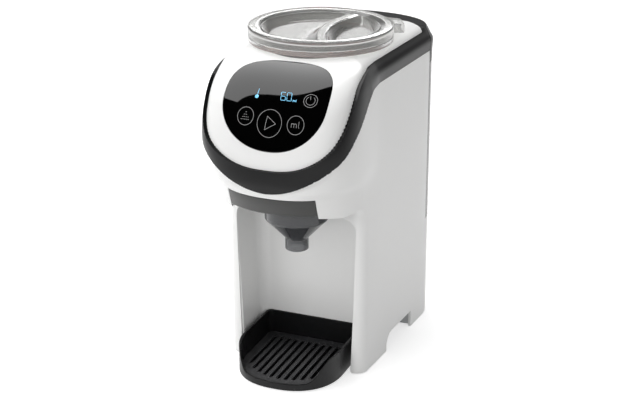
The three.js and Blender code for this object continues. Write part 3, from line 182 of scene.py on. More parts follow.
# The band's edges round the nose: shares of the quarter turn from the side, and of the drop.
LOWER_EDGE_SHARES = [
    (0, 0.026), (0.056, 0.071), (0.119, 0.131), (0.209, 0.248), (0.326, 0.408), (0.451, 0.606),
    (0.544, 0.726), (0.636, 0.818), (0.7, 0.875), (0.767, 0.925), (0.833, 0.962), (0.9, 0.985),
    (0.95, 0.995), (1, 1),
]
UPPER_EDGE_SHARES = [
    (0, 0.02), (0.063, 0.038), (0.122, 0.069), (0.188, 0.114), (0.249, 0.186), (0.301, 0.277),
    (0.34, 0.363), (0.393, 0.484), (0.451, 0.61), (0.517, 0.731), (0.576, 0.815), (0.633, 0.876),
    (0.706, 0.934), (0.8, 0.977), (0.896, 0.996), (1, 1),
]
LOWER_EDGE = (LOWER_EDGE_SHARES, TRIM_SIDE_Z, TRIM_FRONT_Z, SHOULDER_Y, 6)
UPPER_EDGE = (UPPER_EDGE_SHARES, TRIM_TOP_Z, FACE_FRONT_Z, UPPER_KINK_Y, 2)


def linear(hex_colour):
    """An sRGB hex colour as linear red, green and blue."""
    parts = [int(hex_colour[i : i + 2], 16) / 255 for i in (1, 3, 5)]
    return [p / 12.92 if p <= 0.04045 else ((p + 0.055) / 1.055) ** 2.4 for p in parts]


def size_setting(name, description, millimetres):
    return bpy.props.FloatProperty(
        name=name, description=description, default=millimetres * MM, unit="LENGTH", precision=5
    )


def colour_setting(name, description, hex_colour):
    return bpy.props.FloatVectorProperty(
        name=name, description=description, default=linear(hex_colour), subtype="COLOR",
        size=3, min=0, max=1,
    )


class HousingSettings(bpy.types.PropertyGroup):
    wall: size_setting("Wall", "Wall of the white shells", 2.5)
    white: colour_setting("White", "Gloss white of the housing", "#EFEFEE")
    black: colour_setting("Black", "Black of the trim band and the tray", "#101011")


class ClearSettings(bpy.types.PropertyGroup):
    powder: colour_setting("Powder parts", "Tint of the container and its lid", "#C2C2C0")
    smoke: colour_setting("Smoke", "Tint of the funnel and the water tank", "#77787B")
    drawer: colour_setting("Drawer", "Solid grey of the drawer", "#353534")


class DisplaySettings(bpy.types.PropertyGroup):
    glow: colour_setting("Digits", "Colour of the lit digits", "#7CCBF2")
    # The symbols' colour is also the colour of their faint painted glow.
    symbol: colour_setting("Symbols", "Colour of the printed key symbols", "#8E8E8E")
    line: size_setting("Line", "Width of the printed lines", 0.42)


def alone(piece):
    """Selects one piece and makes it the active one."""
    bpy.ops.object.select_all(action="DESELECT")
    piece.select_set(True)
    bpy.context.view_layer.objects.active = piece


def started(name):
    piece = bpy.context.object
    piece.name = piece.data.name = name
    return piece


def in_edit_mode(piece, *steps):
    """Runs edit-mode operators on the whole mesh."""
    alone(piece)
    bpy.ops.object.mode_set(mode="EDIT")
    bpy.ops.mesh.select_mode(type="VERT")
    for operator, settings in steps:
        bpy.ops.mesh.select_all(action="SELECT")
        operator(**settings)
    bpy.ops.object.mode_set(mode="OBJECT")


def read(piece):
    places = np.empty(len(piece.data.vertices) * 3)
    piece.data.vertices.foreach_get("co", places)
    return places.reshape(-1, 3)


def write(piece, places):
    piece.data.vertices.foreach_set("co", np.asarray(places, float).ravel())
    piece.data.update()


def pairs(first, second):
    return np.stack([first, second], axis=1)


def arc(x, y, radius, start, end, count):
    """Points of an arc from one angle to another."""
    angles = np.linspace(start, end, count)
    return [(x + radius * math.cos(a), y + radius * math.sin(a)) for a in angles]


def skin(name, rows, capped=False):
    """A grid laid over rows of points. Ends that meet are merged, and open ends may be filled."""
    rows = np.asarray(rows, float)
    down, across = rows.shape[:2]
    bpy.ops.mesh.primitive_grid_add(x_subdivisions=across - 1, y_subdivisions=down - 1, size=1)
    piece = started(name)
    places = read(piece)
    i = np.rint((places[:, 0] + 0.5) * (across - 1)).astype(int)
    j = np.rint((places[:, 1] + 0.5) * (down - 1)).astype(int)
    write(piece, rows[j, i])
    steps = [(bpy.ops.mesh.remove_doubles, {"threshold": MERGE})]
    if capped:
        steps.append((bpy.ops.mesh.fill_holes, {"sides": 0}))
    steps.append((bpy.ops.mesh.normals_make_consistent, {"inside": False}))
    in_edit_mode(piece, *steps)
    return piece


def turned(name, profile, x=0.0, y=0.0, steps=96):
    """A turned piece about an upright axis. A profile is a list of (radius, height)."""
    angles = np.linspace(0, 2 * math.pi, steps + 1)
    profile = np.asarray(profile, float)
    rows = np.stack(
        [
            x + profile[:, :1] * np.cos(angles),
            y + profile[:, :1] * np.sin(angles),
            np.repeat(profile[:, 1:], steps + 1, axis=1),
        ],
        axis=2,
    )
    return skin(name, rows)


def prism(name, outline, low, high, plane="XY"):
    """An outline filled and pulled along the axis that its plane leaves out."""
    bpy.ops.mesh.primitive_circle_add(vertices=len(outline), radius=1, fill_type="NGON")
    piece = started(name)
    along = 3 - sum("XYZ".index(axis) for axis in plane)
    first, second = ("XYZ".index(axis) for axis in plane)
    places = np.zeros((len(outline), 3))
    places[:, first], places[:, second] = np.asarray(outline, float).T
    places[:, along] = low
    write(piece, places)
    move = [0.0, 0.0, 0.0]
    move[along] = high - low
    in_edit_mode(
        piece,
        (bpy.ops.mesh.extrude_region_move, {"TRANSFORM_OT_translate": {"value": move}}),
        (bpy.ops.mesh.normals_make_consistent, {"inside": False}),
    )
    return piece


def block(name, xs, ys, zs):
    bpy.ops.mesh.primitive_cube_add(size=1)
    piece = started(name)
    low = np.array([xs[0], ys[0], zs[0]])
    high = np.array([xs[1], ys[1], zs[1]])
    write(piece, (low + high) / 2 + read(piece) * (high - low))
    return piece


def rod(name, x, y, radius, low, high, vertices=96):
    bpy.ops.mesh.primitive_cylinder_add(vertices=vertices, radius=1, depth=1)
    piece = started(name)
    places = read(piece)
    middle = np.array([x, y, (low + high) / 2])
    write(piece, middle + places * np.array([radius, radius, high - low]))
    return piece


def applied(piece, kind, **settings):
    alone(piece)
    modifier = piece.modifiers.new(kind.title(), kind)
    for setting, value in settings.items():
        setattr(modifier, setting, value)
    bpy.ops.object.modifier_apply(modifier=modifier.name)
    return piece


def carve(piece, *tools, operation="DIFFERENCE"):
    for tool in tools:
        applied(piece, "BOOLEAN", operation=operation, solver="EXACT", object=tool)
        bpy.data.objects.remove(tool)
    return piece


def keep_inside(piece, tool):
    return carve(piece, tool, operation="INTERSECT")


def fuse(piece, *tools):
    return carve(piece, *tools, operation="UNION")


def soften(piece, width, segments=2, split=False):
    """Cleans flat stretches, splits them if asked, rounds sharp edges and shades the rest smooth."""
    in_edit_mode(
        piece,
        (bpy.ops.mesh.dissolve_degenerate, {"threshold": SLIVER}),
        (bpy.ops.mesh.remove_doubles, {"threshold": SLIVER}),
        (bpy.ops.mesh.dissolve_limited, {"angle_limit": FLAT}),
    )
    if split:
        applied(piece, "TRIANGULATE", min_vertices=5)
    applied(
        piece, "BEVEL", width=width, segments=segments, limit_method="ANGLE",
        angle_limit=math.radians(SHARP), use_clamp_overlap=False, loop_slide=False,
    )
    return smooth(piece)


def smooth(piece, angle=SHARP):
    alone(piece)
    bpy.ops.object.shade_smooth_by_angle(angle=math.radians(angle))
    applied(piece, "WEIGHTED_NORMAL", keep_sharp=True, weight=60)
    return piece


def dressed(piece, material, body, slot, *nodes):
    """Gives a finished piece its material and body, and hides the nodes that it stands for. The slot is
    not used.
    """
    piece.data.materials.clear()
    piece.data.materials.append(material)
    if nodes:
        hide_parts(*nodes)
    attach(piece, body)
    return piece


def spline(rows, heights):
    """Rows of a table, run through smoothly, at the heights asked for."""
    rows = np.asarray(rows, float)
    at, values = rows[:, 0], rows[:, 1:]
    slopes = np.gradient(values, at, axis=0)
    chords = np.diff(values, axis=0) / np.diff(at)[:, None]
    flat = np.zeros_like(slopes, bool)
    flat[1:-1] = chords[:-1] * chords[1:] <= 0
    slopes[flat] = 0
    limit = 3 * np.minimum(np.abs(np.vstack([chords[:1], chords])),
                           np.abs(np.vstack([chords, chords[-1:]])))
    slopes = np.clip(slopes, -limit, limit)
    heights = np.clip(np.asarray(heights, float), at[0], at[-1])
    k = np.clip(np.searchsorted(at, heights) - 1, 0, len(at) - 2)
    gap = at[k + 1] - at[k]
    t = ((heights - at[k]) / gap)[:, None]
    gap = gap[:, None]
    return (
        (1 + 2 * t) * (1 - t) ** 2 * values[k] + t * (1 - t) ** 2 * gap * slopes[k]
        + t * t * (3 - 2 * t) * values[k + 1] + t * t * (t - 1) * gap * slopes[k + 1]
    )


def side_half(y):
    return NOSE_HALF + (REAR_HALF - NOSE_HALF) * (y - NOSE_Y) / (REAR_Y - NOSE_Y)


def evenly(points, count):
    """The same line with its points spaced evenly."""
    steps = np.linalg.norm(np.diff(points, axis=0), axis=1)
    run = np.concatenate([[0], np.cumsum(steps)])
    wanted = np.linspace(0, run[-1], count)
    return np.stack([np.interp(wanted, run, points[:, axis]) for axis in (0, 1)], axis=1)


def rounded_end(half, reach, power, y, way, count):
    """A quarter of a superellipse from the side to the middle, finely drawn and then evenly spaced."""
    angles = np.linspace(0, math.pi / 2, 600)
    x = half * np.cos(angles) ** (2 / power)
    along = y + way * reach * np.sin(angles) ** (2 / power)
    x[-1] = 0
    return evenly(pairs(x, along), count)


def plan(row, inset, front_inset):
    """The housing's outline at one height, from the middle of the back, round by the right side."""
    half, reach, power, _, side_out, back, rear_in = row
    half, side_out, back, rear_in = (v * NOSE_HALF for v in (half, side_out, back, rear_in))
    reach *= NOSE_REACH
    rear = rounded_end(REAR_HALF + side_out - inset, REAR_DEPTH - rear_in - inset,
                       REAR_POWER, REAR_Y, 1, REAR_POINTS)[::-1]
    shoulder = np.array([side_half(SHOULDER_Y) + side_out - inset, SHOULDER_Y + back])
    nose = rounded_end(half - inset, reach - front_inset, power, NOSE_Y + back, -1, NOSE_POINTS)
    side = np.linspace(rear[-1], shoulder, SIDE_POINTS)
    bridge = np.linspace(shoulder, nose[0], BRIDGE_POINTS)
    right = np.vstack([rear[:-1], side, bridge[1:], nose[1:]])
    left = right[::-1] * (-1, 1)
    return np.vstack([right, left[1:]])


def envelope(name, shares, inset=0.0, rows=70, low=None, high=None):
    """A closed skin over a table of shares, moved inwards by a thickness."""
    at = np.array([row[0] for row in shares])
    heights = np.linspace(at[0] if low is None else low / DECK_EDGE_Z,
                          at[-1] if high is None else high / DECK_EDGE_Z, rows)
    layers = []
    for height, row in zip(heights, spline(shares, heights)):
        lean = row[3]
        front_inset = min(inset * math.sqrt(max(1 - lean * lean, 0)), row[1] * NOSE_REACH / 2)
        outline = plan(row, inset, front_inset)
        z = np.full((len(outline), 1), height * DECK_EDGE_Z - inset * lean)
        layers.append(np.hstack([outline, z]))
    return skin(name, layers, capped=True)


def above_edge(edge, shift=0.0):
    """All that is above an edge of the band, as rows round the nose's axis."""
    shares, side_z, front_z, start_y, bend = edge
    turn = np.linspace(0, 1, 61)
    drop = (side_z - front_z) * spline(shares, turn)[:, 0]
    side_steps = 12
    share = np.linspace(0, 1, side_steps, endpoint=False)
    y = start_y + (NOSE_Y - start_y) * share
    side = -np.arctan2(y - NOSE_Y, side_half(y))
    back = np.linspace(-math.pi / 2, side[0], side_steps, endpoint=False)
    ways = np.concatenate([back, side, turn * math.pi / 2])
    drops = np.concatenate([np.zeros(side_steps), drop[0] * share**bend, drop])
    ways = np.concatenate([ways, math.pi - ways[-2::-1]])
    drops = np.concatenate([drops, drops[-2::-1]])
    top, middle = DECK_EDGE_Z + FAR, (side_z + front_z) / 2
    near, far = NOSE_HALF / 4, 4 * FAR
    rows = []
    for way, z in zip(ways, side_z + shift - drops):
        line = [(0, middle), (near, z), (far, z), (far, top), (0, top)]
        rows.append([(r * math.cos(way), NOSE_Y - r * math.sin(way), height) for r, height in line])
    return skin("above_edge", rows)


def tank_space(from_z, grow=0.0):
    """The space of the water tank behind the housing."""
    half = REAR_HALF + FAR
    angles = np.linspace(0, math.pi, 61)
    front = TANK_FRONT_Y - grow
    bow = pairs(REAR_HALF * np.cos(angles), front + TANK_BULGE * np.sin(angles))
    rear = BODY_HIGH.y + FAR
    outline = [(half, front), *bow, (-half, front), (-half, rear), (half, rear)]
    return prism("tank_space", outline, from_z - grow, DECK_EDGE_Z + FAR)


def behind_deck(grow=0.0):
    """Everything behind the deck's rear edge, an arc with rounded ends."""
    angles = np.linspace(0, math.pi, 121)
    across = np.cos(angles)
    corner = STRIP_CORNER * np.abs(across) ** STRIP_CORNER_POWER
    y = TANK_FRONT_Y - STRIP_DEEP - grow + TANK_BULGE * np.sin(angles) - corner
    half, rear = REAR_HALF + FAR, BODY_HIGH.y + FAR
    outline = [(half, y[0]), *pairs(REAR_HALF * across, y), (-half, y[-1]), (-half, rear), (half, rear)]
    return prism("behind_deck", outline, 0, DECK_EDGE_Z + FAR)


def under_head(grow=0.0):
    """The space under the head. It flares at the sides, which rounds the pillars' front edges."""
    bow = PILLAR_ROUND - grow
    beyond = 1.2
    stations = np.append(np.sin(np.linspace(0, 1, 14) * math.pi / 2), beyond)
    rows = []
    for share in np.concatenate([-stations[::-1], stations]):
        along = min(abs(share), 1.0)
        flare = grow + bow * (1 - math.sqrt(max(1 - along * along, 0)))
        radius = THROAT_ROUND + flare
        angles = np.linspace(0, math.pi / 2, 14)
        centre_y = PILLAR_Y - THROAT_ROUND
        centre_z = NOSE_FLOOR_Z - THROAT_ROUND
        bend = pairs(centre_y + radius * np.cos(angles), centre_z + radius * np.sin(angles))
        front = APEX_Y - FAR
        rise = bend[-1][1] + (bend[-1][0] - front) * THROAT_RISE
        line = np.vstack([[front, -FAR], [bend[0][0], -FAR], bend, [front, rise], [front, -FAR]])
        half = side_half(line[:, 0]) - grow
        x = np.sign(share) * (half - bow + bow * abs(share))
        rows.append(np.stack([x, line[:, 0], line[:, 1]], axis=1))
    return skin("under_head", rows, capped=True)


def rounded_door(half, low, top, radius, steps=16):
    """A doorway's outline with rounded upper corners, wider above, from lower left, over the top."""
    angles = np.linspace(0, math.pi / 2, steps)
    left = pairs(-half + radius - radius * np.cos(angles), top - radius + radius * np.sin(angles))
    right = left[::-1] * (-1, 1)
    door = np.vstack([[-half, low], left, right, [half, low]])
    door[:, 0] *= 1 + BAY_FLARE * (np.maximum(door[:, 1], 0) - BAY_HALF_Z)
    return door


def arch_outline():
    radius = 13 * MM
    angles = np.linspace(0, math.pi / 2, 12)
    corner = pairs(ARCH_FRONT_Y + radius - radius * np.sin(angles),
                   ARCH_TOP_Z - radius + radius * np.cos(angles))
    return np.vstack([[ARCH_FRONT_Y, -FAR], [ARCH_REAR_Y, -FAR], [ARCH_REAR_Y, ARCH_TOP_Z], corner])


def shader(name):
    material = bpy.data.materials.new(name)
    material.use_nodes = True
    return material, material.node_tree.nodes["Principled BSDF"]


def add(material, kind, settings=(), links=()):
    """Adds a node, sets its values and sockets, and links it."""
    tree = material.node_tree
    node = tree.nodes.new(kind)
    for key, value in dict(settings).items():
        if key in node.inputs:
            node.inputs[key].default_value = value
        else:
            setattr(node, key, value)
    for source, target in links:
        tree.links.new(source, node.inputs[target])
    return node


def moulded(
    name, colour, roughness, grain_mm=0.6, grain_depth=0.02, gloss=0.5, drift=0.04, ior=1.54
):
    """A moulded plastic: faint flow drift in its colour and shine, and a fine tool grain."""
    material, surface = shader(name)
    tree = material.node_tree
    place = add(material, "ShaderNodeTexCoord")
    flow = add(material, "ShaderNodeTexNoise",
               {"Scale": 1 / (60 * MM), "Detail": 3.0}, [(place.outputs["Object"], "Vector")])
    shine = add(material, "ShaderNodeMapRange",
                {"To Min": roughness * (1 - drift * 2), "To Max": roughness * (1 + drift * 2)},
                [(flow.outputs["Fac"], "Value")])
    tint = add(material, "ShaderNodeMix",
               {"data_type": "RGBA"}, [(flow.outputs["Fac"], "Factor")])
    tint.inputs[6].default_value = (*[c * (1 - drift) for c in colour], 1)
    tint.inputs[7].default_value = (*colour, 1)
    grain = add(material, "ShaderNodeTexNoise",
                {"Scale": 1 / (grain_mm * MM), "Detail": 2.0},
                [(place.outputs["Object"], "Vector")])
    bump = add(material, "ShaderNodeBump",
               {"Strength": grain_depth, "Distance": 0.1 * MM}, [(grain.outputs["Fac"], "Height")])
    tree.links.new(tint.outputs[2], surface.inputs["Base Color"])
    tree.links.new(shine.outputs["Result"], surface.inputs["Roughness"])
    tree.links.new(bump.outputs["Normal"], surface.inputs["Normal"])
    surface.inputs["IOR"].default_value = ior
    surface.inputs["Specular IOR Level"].default_value = gloss
    return material


def see_through(name, colour, roughness, weight, ior=1.49):
    """A clear or smoked moulding: light passes, with faint flow lines in its shine."""
    material = moulded(name, colour, roughness, grain_mm=4, grain_depth=0.01, ior=ior)
    surface = material.node_tree.nodes["Principled BSDF"]
    surface.inputs["Transmission Weight"].default_value = weight
    return material


def metal(name, colour, roughness, grain_mm=0.5):
    material = moulded(name, colour, roughness, grain_mm=grain_mm, grain_depth=0.08, ior=1.5)
    surface = material.node_tree.nodes["Principled BSDF"]
    surface.inputs["Metallic"].default_value = 1.0
    return material


# Lit pieces glow. The digits are real lit segments; on the printed symbols the glow is a painted glow.
def lit(name, colour, strength):
    material, surface = shader(name)
    surface.inputs["Base Color"].default_value = (*colour, 1)
    surface.inputs["Emission Color"].default_value = (*colour, 1)
    surface.inputs["Emission Strength"].default_value = strength
    surface.inputs["Roughness"].default_value = 0.3
    return material


PALETTE = {}


def mix_palette(scene):
    housing, clear, display = scene.fm_housing, scene.fm_clear, scene.fm_display
    white, black = list(housing.white), list(housing.black)
    PALETTE.update({
        # Polished injection-moulded ABS: an even white with a soft, clean highlight.
        "white": moulded("gloss_white_abs", white, 0.3, drift=0.01),
        # The same ABS, pigmented black: deep, with broad soft reflections.
        "black": moulded("black_abs", black, 0.32, drift=0.06, gloss=0.22),
        # Satin black polypropylene, with the grain of an eroded tool.
        "satin_black": moulded("satin_black_pp", linear("#343436"), 0.42, grain_mm=0.9,
                               grain_depth=0.1),
        # The tray's polypropylene: a low sheen, so that it stays dark on a white table.
        "tray": moulded("tray_black_pp", linear("#161617"), 0.4, drift=0.06, gloss=0.25),
        # Grey pigmented SAN: looks solid, with a glassy skin.
        "drawer": moulded("smoked_san", list(clear.drawer), 0.3, drift=0.05, gloss=0.4),
        # Clear copolyester with a grey cast, as in food containers.
        "powder": see_through("clear_copolyester", list(clear.powder), 0.12, 0.86),
        # The same resin tinted smoke grey.
        "smoke": see_through("smoked_copolyester", list(clear.smoke), 0.1, 0.8),
        # The tank's smoke grey is deeper, for its wall is seen edge on.
        "tank": see_through("deep_smoked_copolyester", linear("#47484A"), 0.15, 0.25),
        # Back-painted acrylic: black under a polished face.
        "window": moulded("black_acrylic", linear("#030303"), 0.04, drift=0.02, grain_depth=0,
                          ior=1.49),
        # The symbols are printed grey ink, yet they glow faintly: a painted glow that makes them
        # brighter than the lamps light them.
        "symbols": lit("printed_grey_ink_with_painted_glow", list(display.symbol), 0.15),
        "digits": lit("blue_light_segments", list(display.glow), 0.6),
        # Unpainted grey ABS of the inner chassis, straight from the tool.
        "chassis": moulded("grey_abs", linear("#BDBFC0"), 0.45, grain_mm=1.2, grain_depth=0.12),
        "coral": moulded("coral_pp", linear("#F2796A"), 0.4, grain_mm=1.0, grain_depth=0.08),
        "milky": moulded("natural_pp", linear("#E6E6E0"), 0.38),
        "rubber": moulded("moulded_rubber", linear("#232323"), 0.8, grain_mm=0.8, grain_depth=0.3),
        "silicone": moulded("silicone", linear("#D5D9DA"), 0.5, grain_mm=1.5, grain_depth=0.1),
        "blush": moulded("blush_silicone", linear("#C2ABA6"), 0.5, grain_mm=1.5, grain_depth=0.1),
        "steel": metal("zinc_plated_steel", linear("#C4C7CB"), 0.32),
        "cast": metal("cast_aluminium", linear("#B4B6B9"), 0.5, grain_mm=0.9),
        "board": moulded("fr4_board", linear("#1F5C38"), 0.4, grain_mm=0.8, grain_depth=0.1),
    })


class PieceOperator(bpy.types.Operator):
    bl_options = {"REGISTER", "UNDO"}


class FM_OT_housing(PieceOperator):
    """Models the white housing shell with its pillars, throat, doors and rear ledge"""

    bl_idname = "fm.housing"
    bl_label = "Housing shell"

    def execute(self, context):
        wall = context.scene.fm_housing.wall
        shell = carve(
            envelope("housing_shell", BODY_SHARES, rows=76, low=1 * MM),
            under_head(), tank_space(TANK_FLOOR_Z),
        )
        inner = carve(
            envelope("inner", BODY_SHARES, wall, rows=40, low=-FAR, high=DECK_EDGE_Z),
            under_head(wall), tank_space(TANK_FLOOR_Z, wall),
        )
        door = prism("door", rounded_door(BAY_HALF, -FAR, BAY_TOP_Z, DOOR_ROUND),
                     PILLAR_Y - FAR, BAY_BACK_Y, "XZ")
        gap = 0.6 * MM
        across, front = (DRAWER_LOW.x - gap, DRAWER_HIGH.x + gap), APEX_Y - FAR
        drawer_door = block("drawer_door", across, (front, DRAWER_CUT_Y),
                            (DRAWER_LOW.z - gap, DRAWER_HIGH.z + gap))
        chute = block("chute", (-CHUTE_HALF, CHUTE_HALF), (front, CHUTE_REAR_Y),
                      (NOSE_FLOOR_Z - UNDER, DRAWER_LOW.z))
        mouth = block("mouth", across, (front, DRAWER_CUT_Y),
                      (NOSE_FLOOR_Z - UNDER, DRAWER_HIGH.z))
        arch = prism("arch", arch_outline(), -REAR_HALF - FAR, REAR_HALF + FAR, "YZ")
        inlet_low, inlet_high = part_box("mains_inlet")
        inlet = block("inlet", (inlet_low.x - SEAM, inlet_high.x + SEAM),
                      (REAR_Y, BODY_HIGH.y + FAR), (inlet_low.z - SEAM, inlet_high.z + SEAM))
        dock_low, dock_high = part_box("dock_seat")
        dock = rod("dock", 0, (dock_low.y + dock_high.y) / 2, dock_high.x + gap,
                   TANK_FLOOR_Z - UNDER, TANK_FLOOR_Z + FAR)
        carve(shell, inner, above_edge(LOWER_EDGE, -SEAM))
        carve(shell, door, drawer_door, chute, mouth, arch, inlet, dock)
        smooth(shell)
        dressed(shell, PALETTE["white"], "housing", "white_abs", "body_shell")
        return {"FINISHED"}


class FM_OT_bay(PieceOperator):
    """Models the liner of the bottle bay with its rounded back corners"""

    bl_idname = "fm.bay"
    bl_label = "Bay liner"

    def execute(self, context):
        wall = context.scene.fm_housing.wall
        radius = 12 * MM
        front = PILLAR_Y + wall
        outline = rounded_door(BAY_HALF, LINER_FOOT_Z, BAY_TOP_Z, DOOR_ROUND)
        half_count = len(outline) // 2
        rise = np.linspace(0, 1, half_count)[:, None]
        low, high = np.array([[0, LINER_FOOT_Z], [0, BAY_TOP_Z - radius]])
        centre = low * (1 - rise) + high * rise
        centre = np.vstack([centre, centre[::-1]])
        turn = np.linspace(0, math.pi / 2, 10)
        insets = np.concatenate([[0, 0, 0], radius * (1 - np.cos(turn))])
        depths = np.concatenate([
            np.linspace(front, BAY_BACK_Y - radius, 3, endpoint=False),
            BAY_BACK_Y - radius + radius * np.sin(turn),
        ])
        rows = []
        for inset, y in zip(insets, depths):
            line = rounded_door(BAY_HALF - inset, LINER_FOOT_Z, BAY_TOP_Z - inset,
                                max(DOOR_ROUND - inset, 3 * MM))
            rows.append(self.at_depth(line, y))
        last = rows[-1][:, [0, 2]]
        for share in (0.3, 0.65, 1.0):
            line = last * (1 - share) + centre * share
            rows.append(self.at_depth(line, BAY_BACK_Y))
        liner = skin("bay_liner_moulding", rows)
        applied(liner, "SOLIDIFY", thickness=wall, offset=self.outwards(liner))
        carve(liner, block("chute", (-CHUTE_HALF, CHUTE_HALF), (APEX_Y, CHUTE_REAR_Y),
                           (BAY_TOP_Z - DOOR_ROUND, BAY_TOP_Z + FAR)))
        soften(liner, 0.4 * MM)
        dressed(liner, PALETTE["white"], "housing", "white_abs", "bay_liner")
        return {"FINISHED"}

    def at_depth(self, line, y):
        return np.stack([line[:, 0], np.full(len(line), y), line[:, 1]], axis=1)

    def outwards(self, liner):
        """The side on which the wall lies, so that the bay keeps its width."""
        side = max(liner.data.polygons, key=lambda face: face.center.x)
        return 1 if side.normal.x > 0 else -1


class FM_OT_trim(PieceOperator):
    """Models the black band round the face and along the sides, with its ridge"""

    bl_idname = "fm.trim"
    bl_label = "Trim band"

    WALL = 4 * MM

    def execute(self, context):
        last = TRIM_SHARES[-1]
        open_top = [*TRIM_SHARES[:-1], (last[0] * 1.1, *last[1:])]  # so that the wall has no lid
        outer = carve(envelope("trim_moulding", TRIM_SHARES, rows=90), tank_space(TANK_FLOOR_Z, SEAM))
        inner = carve(
            envelope("inner", open_top, self.WALL, rows=60), tank_space(TANK_FLOOR_Z, SEAM + self.WALL)
        )
        carve(outer, inner, above_edge(UPPER_EDGE))
        keep_inside(outer, above_edge(LOWER_EDGE))
        fuse(outer, self.strip())
        smooth(outer)
        dressed(outer, PALETTE["black"], "housing", "black_abs", "trim_band")
        return {"FINISHED"}

    def strip(self):
        """The closed strip behind the deck, in front of the tank."""
        top = TRIM_SHARES[-1][0] * DECK_EDGE_Z
        strip = carve(envelope("strip", TRIM_SHARES, rows=90), tank_space(TANK_FLOOR_Z, SEAM))
        keep_inside(strip, behind_deck())
        slab = block("slab", (-REAR_HALF, REAR_HALF), (NOSE_Y, BODY_HIGH.y), (top - self.WALL, top))
        return keep_inside(strip, slab)


def window_outline(grow=0.0, count=120):
    """The display's outline in its own leaning plane: squarer above, rounder below."""
    angles = np.linspace(0, 2 * math.pi, count, endpoint=False)
    upper = np.sin(angles) >= 0
    power = np.where(upper, 2.85, 2.2)
    tall = np.where(upper, 46.4 * MM, 43.8 * MM) + grow
    c, s = np.cos(angles), np.sin(angles)
    across = (49.7 * MM + grow) * np.sign(c) * np.abs(c) ** (2 / power)
    return pairs(across + WINDOW_OFF_X, tall * np.sign(s) * np.abs(s) ** (2 / power))


def lean_back(places):
    """From the display's own plane (x, up, outwards) to the frame."""
    x, up, out = np.asarray(places, float).T
    c, s = math.cos(WINDOW_TILT), math.sin(WINDOW_TILT)
    return np.stack([x, WINDOW_Y + up * c - out * s, WINDOW_Z + up * s + out * c], axis=1)


def window_prism(grow=0.0):
    piece = prism("window", window_outline(grow), -UNDER, ABOVE_GLASS)
    write(piece, lean_back(read(piece)))
    return piece


class FM_OT_cover(PieceOperator):
    """Models the white face and deck in one shell, with the display's pocket"""

    bl_idname = "fm.cover"
    bl_label = "Top cover"

    def execute(self, context):
        thick = 3.2 * MM
        cover = carve(envelope("cover_moulding", FACE_SHARES, rows=90), behind_deck(SEAM))
        inner = carve(envelope("inner", FACE_SHARES, thick, rows=60), behind_deck(SEAM + thick))
        carve(cover, inner)
        keep_inside(cover, above_edge(UPPER_EDGE, SEAM))
        floor = envelope("floor", FACE_SHARES, POCKET_DEEP + SEAM, rows=60)
        mouth = rod("mouth", 0, HOPPER_Y, 62.1 * MM, FACE_FRONT_Z - MM, DECK_EDGE_Z + FAR, 160)
        carve(cover, carve(window_prism(SEAM), floor), mouth)
        smooth(cover)
        dressed(cover, PALETTE["white"], "housing", "white_abs", "top_cover")
        return {"FINISHED"}


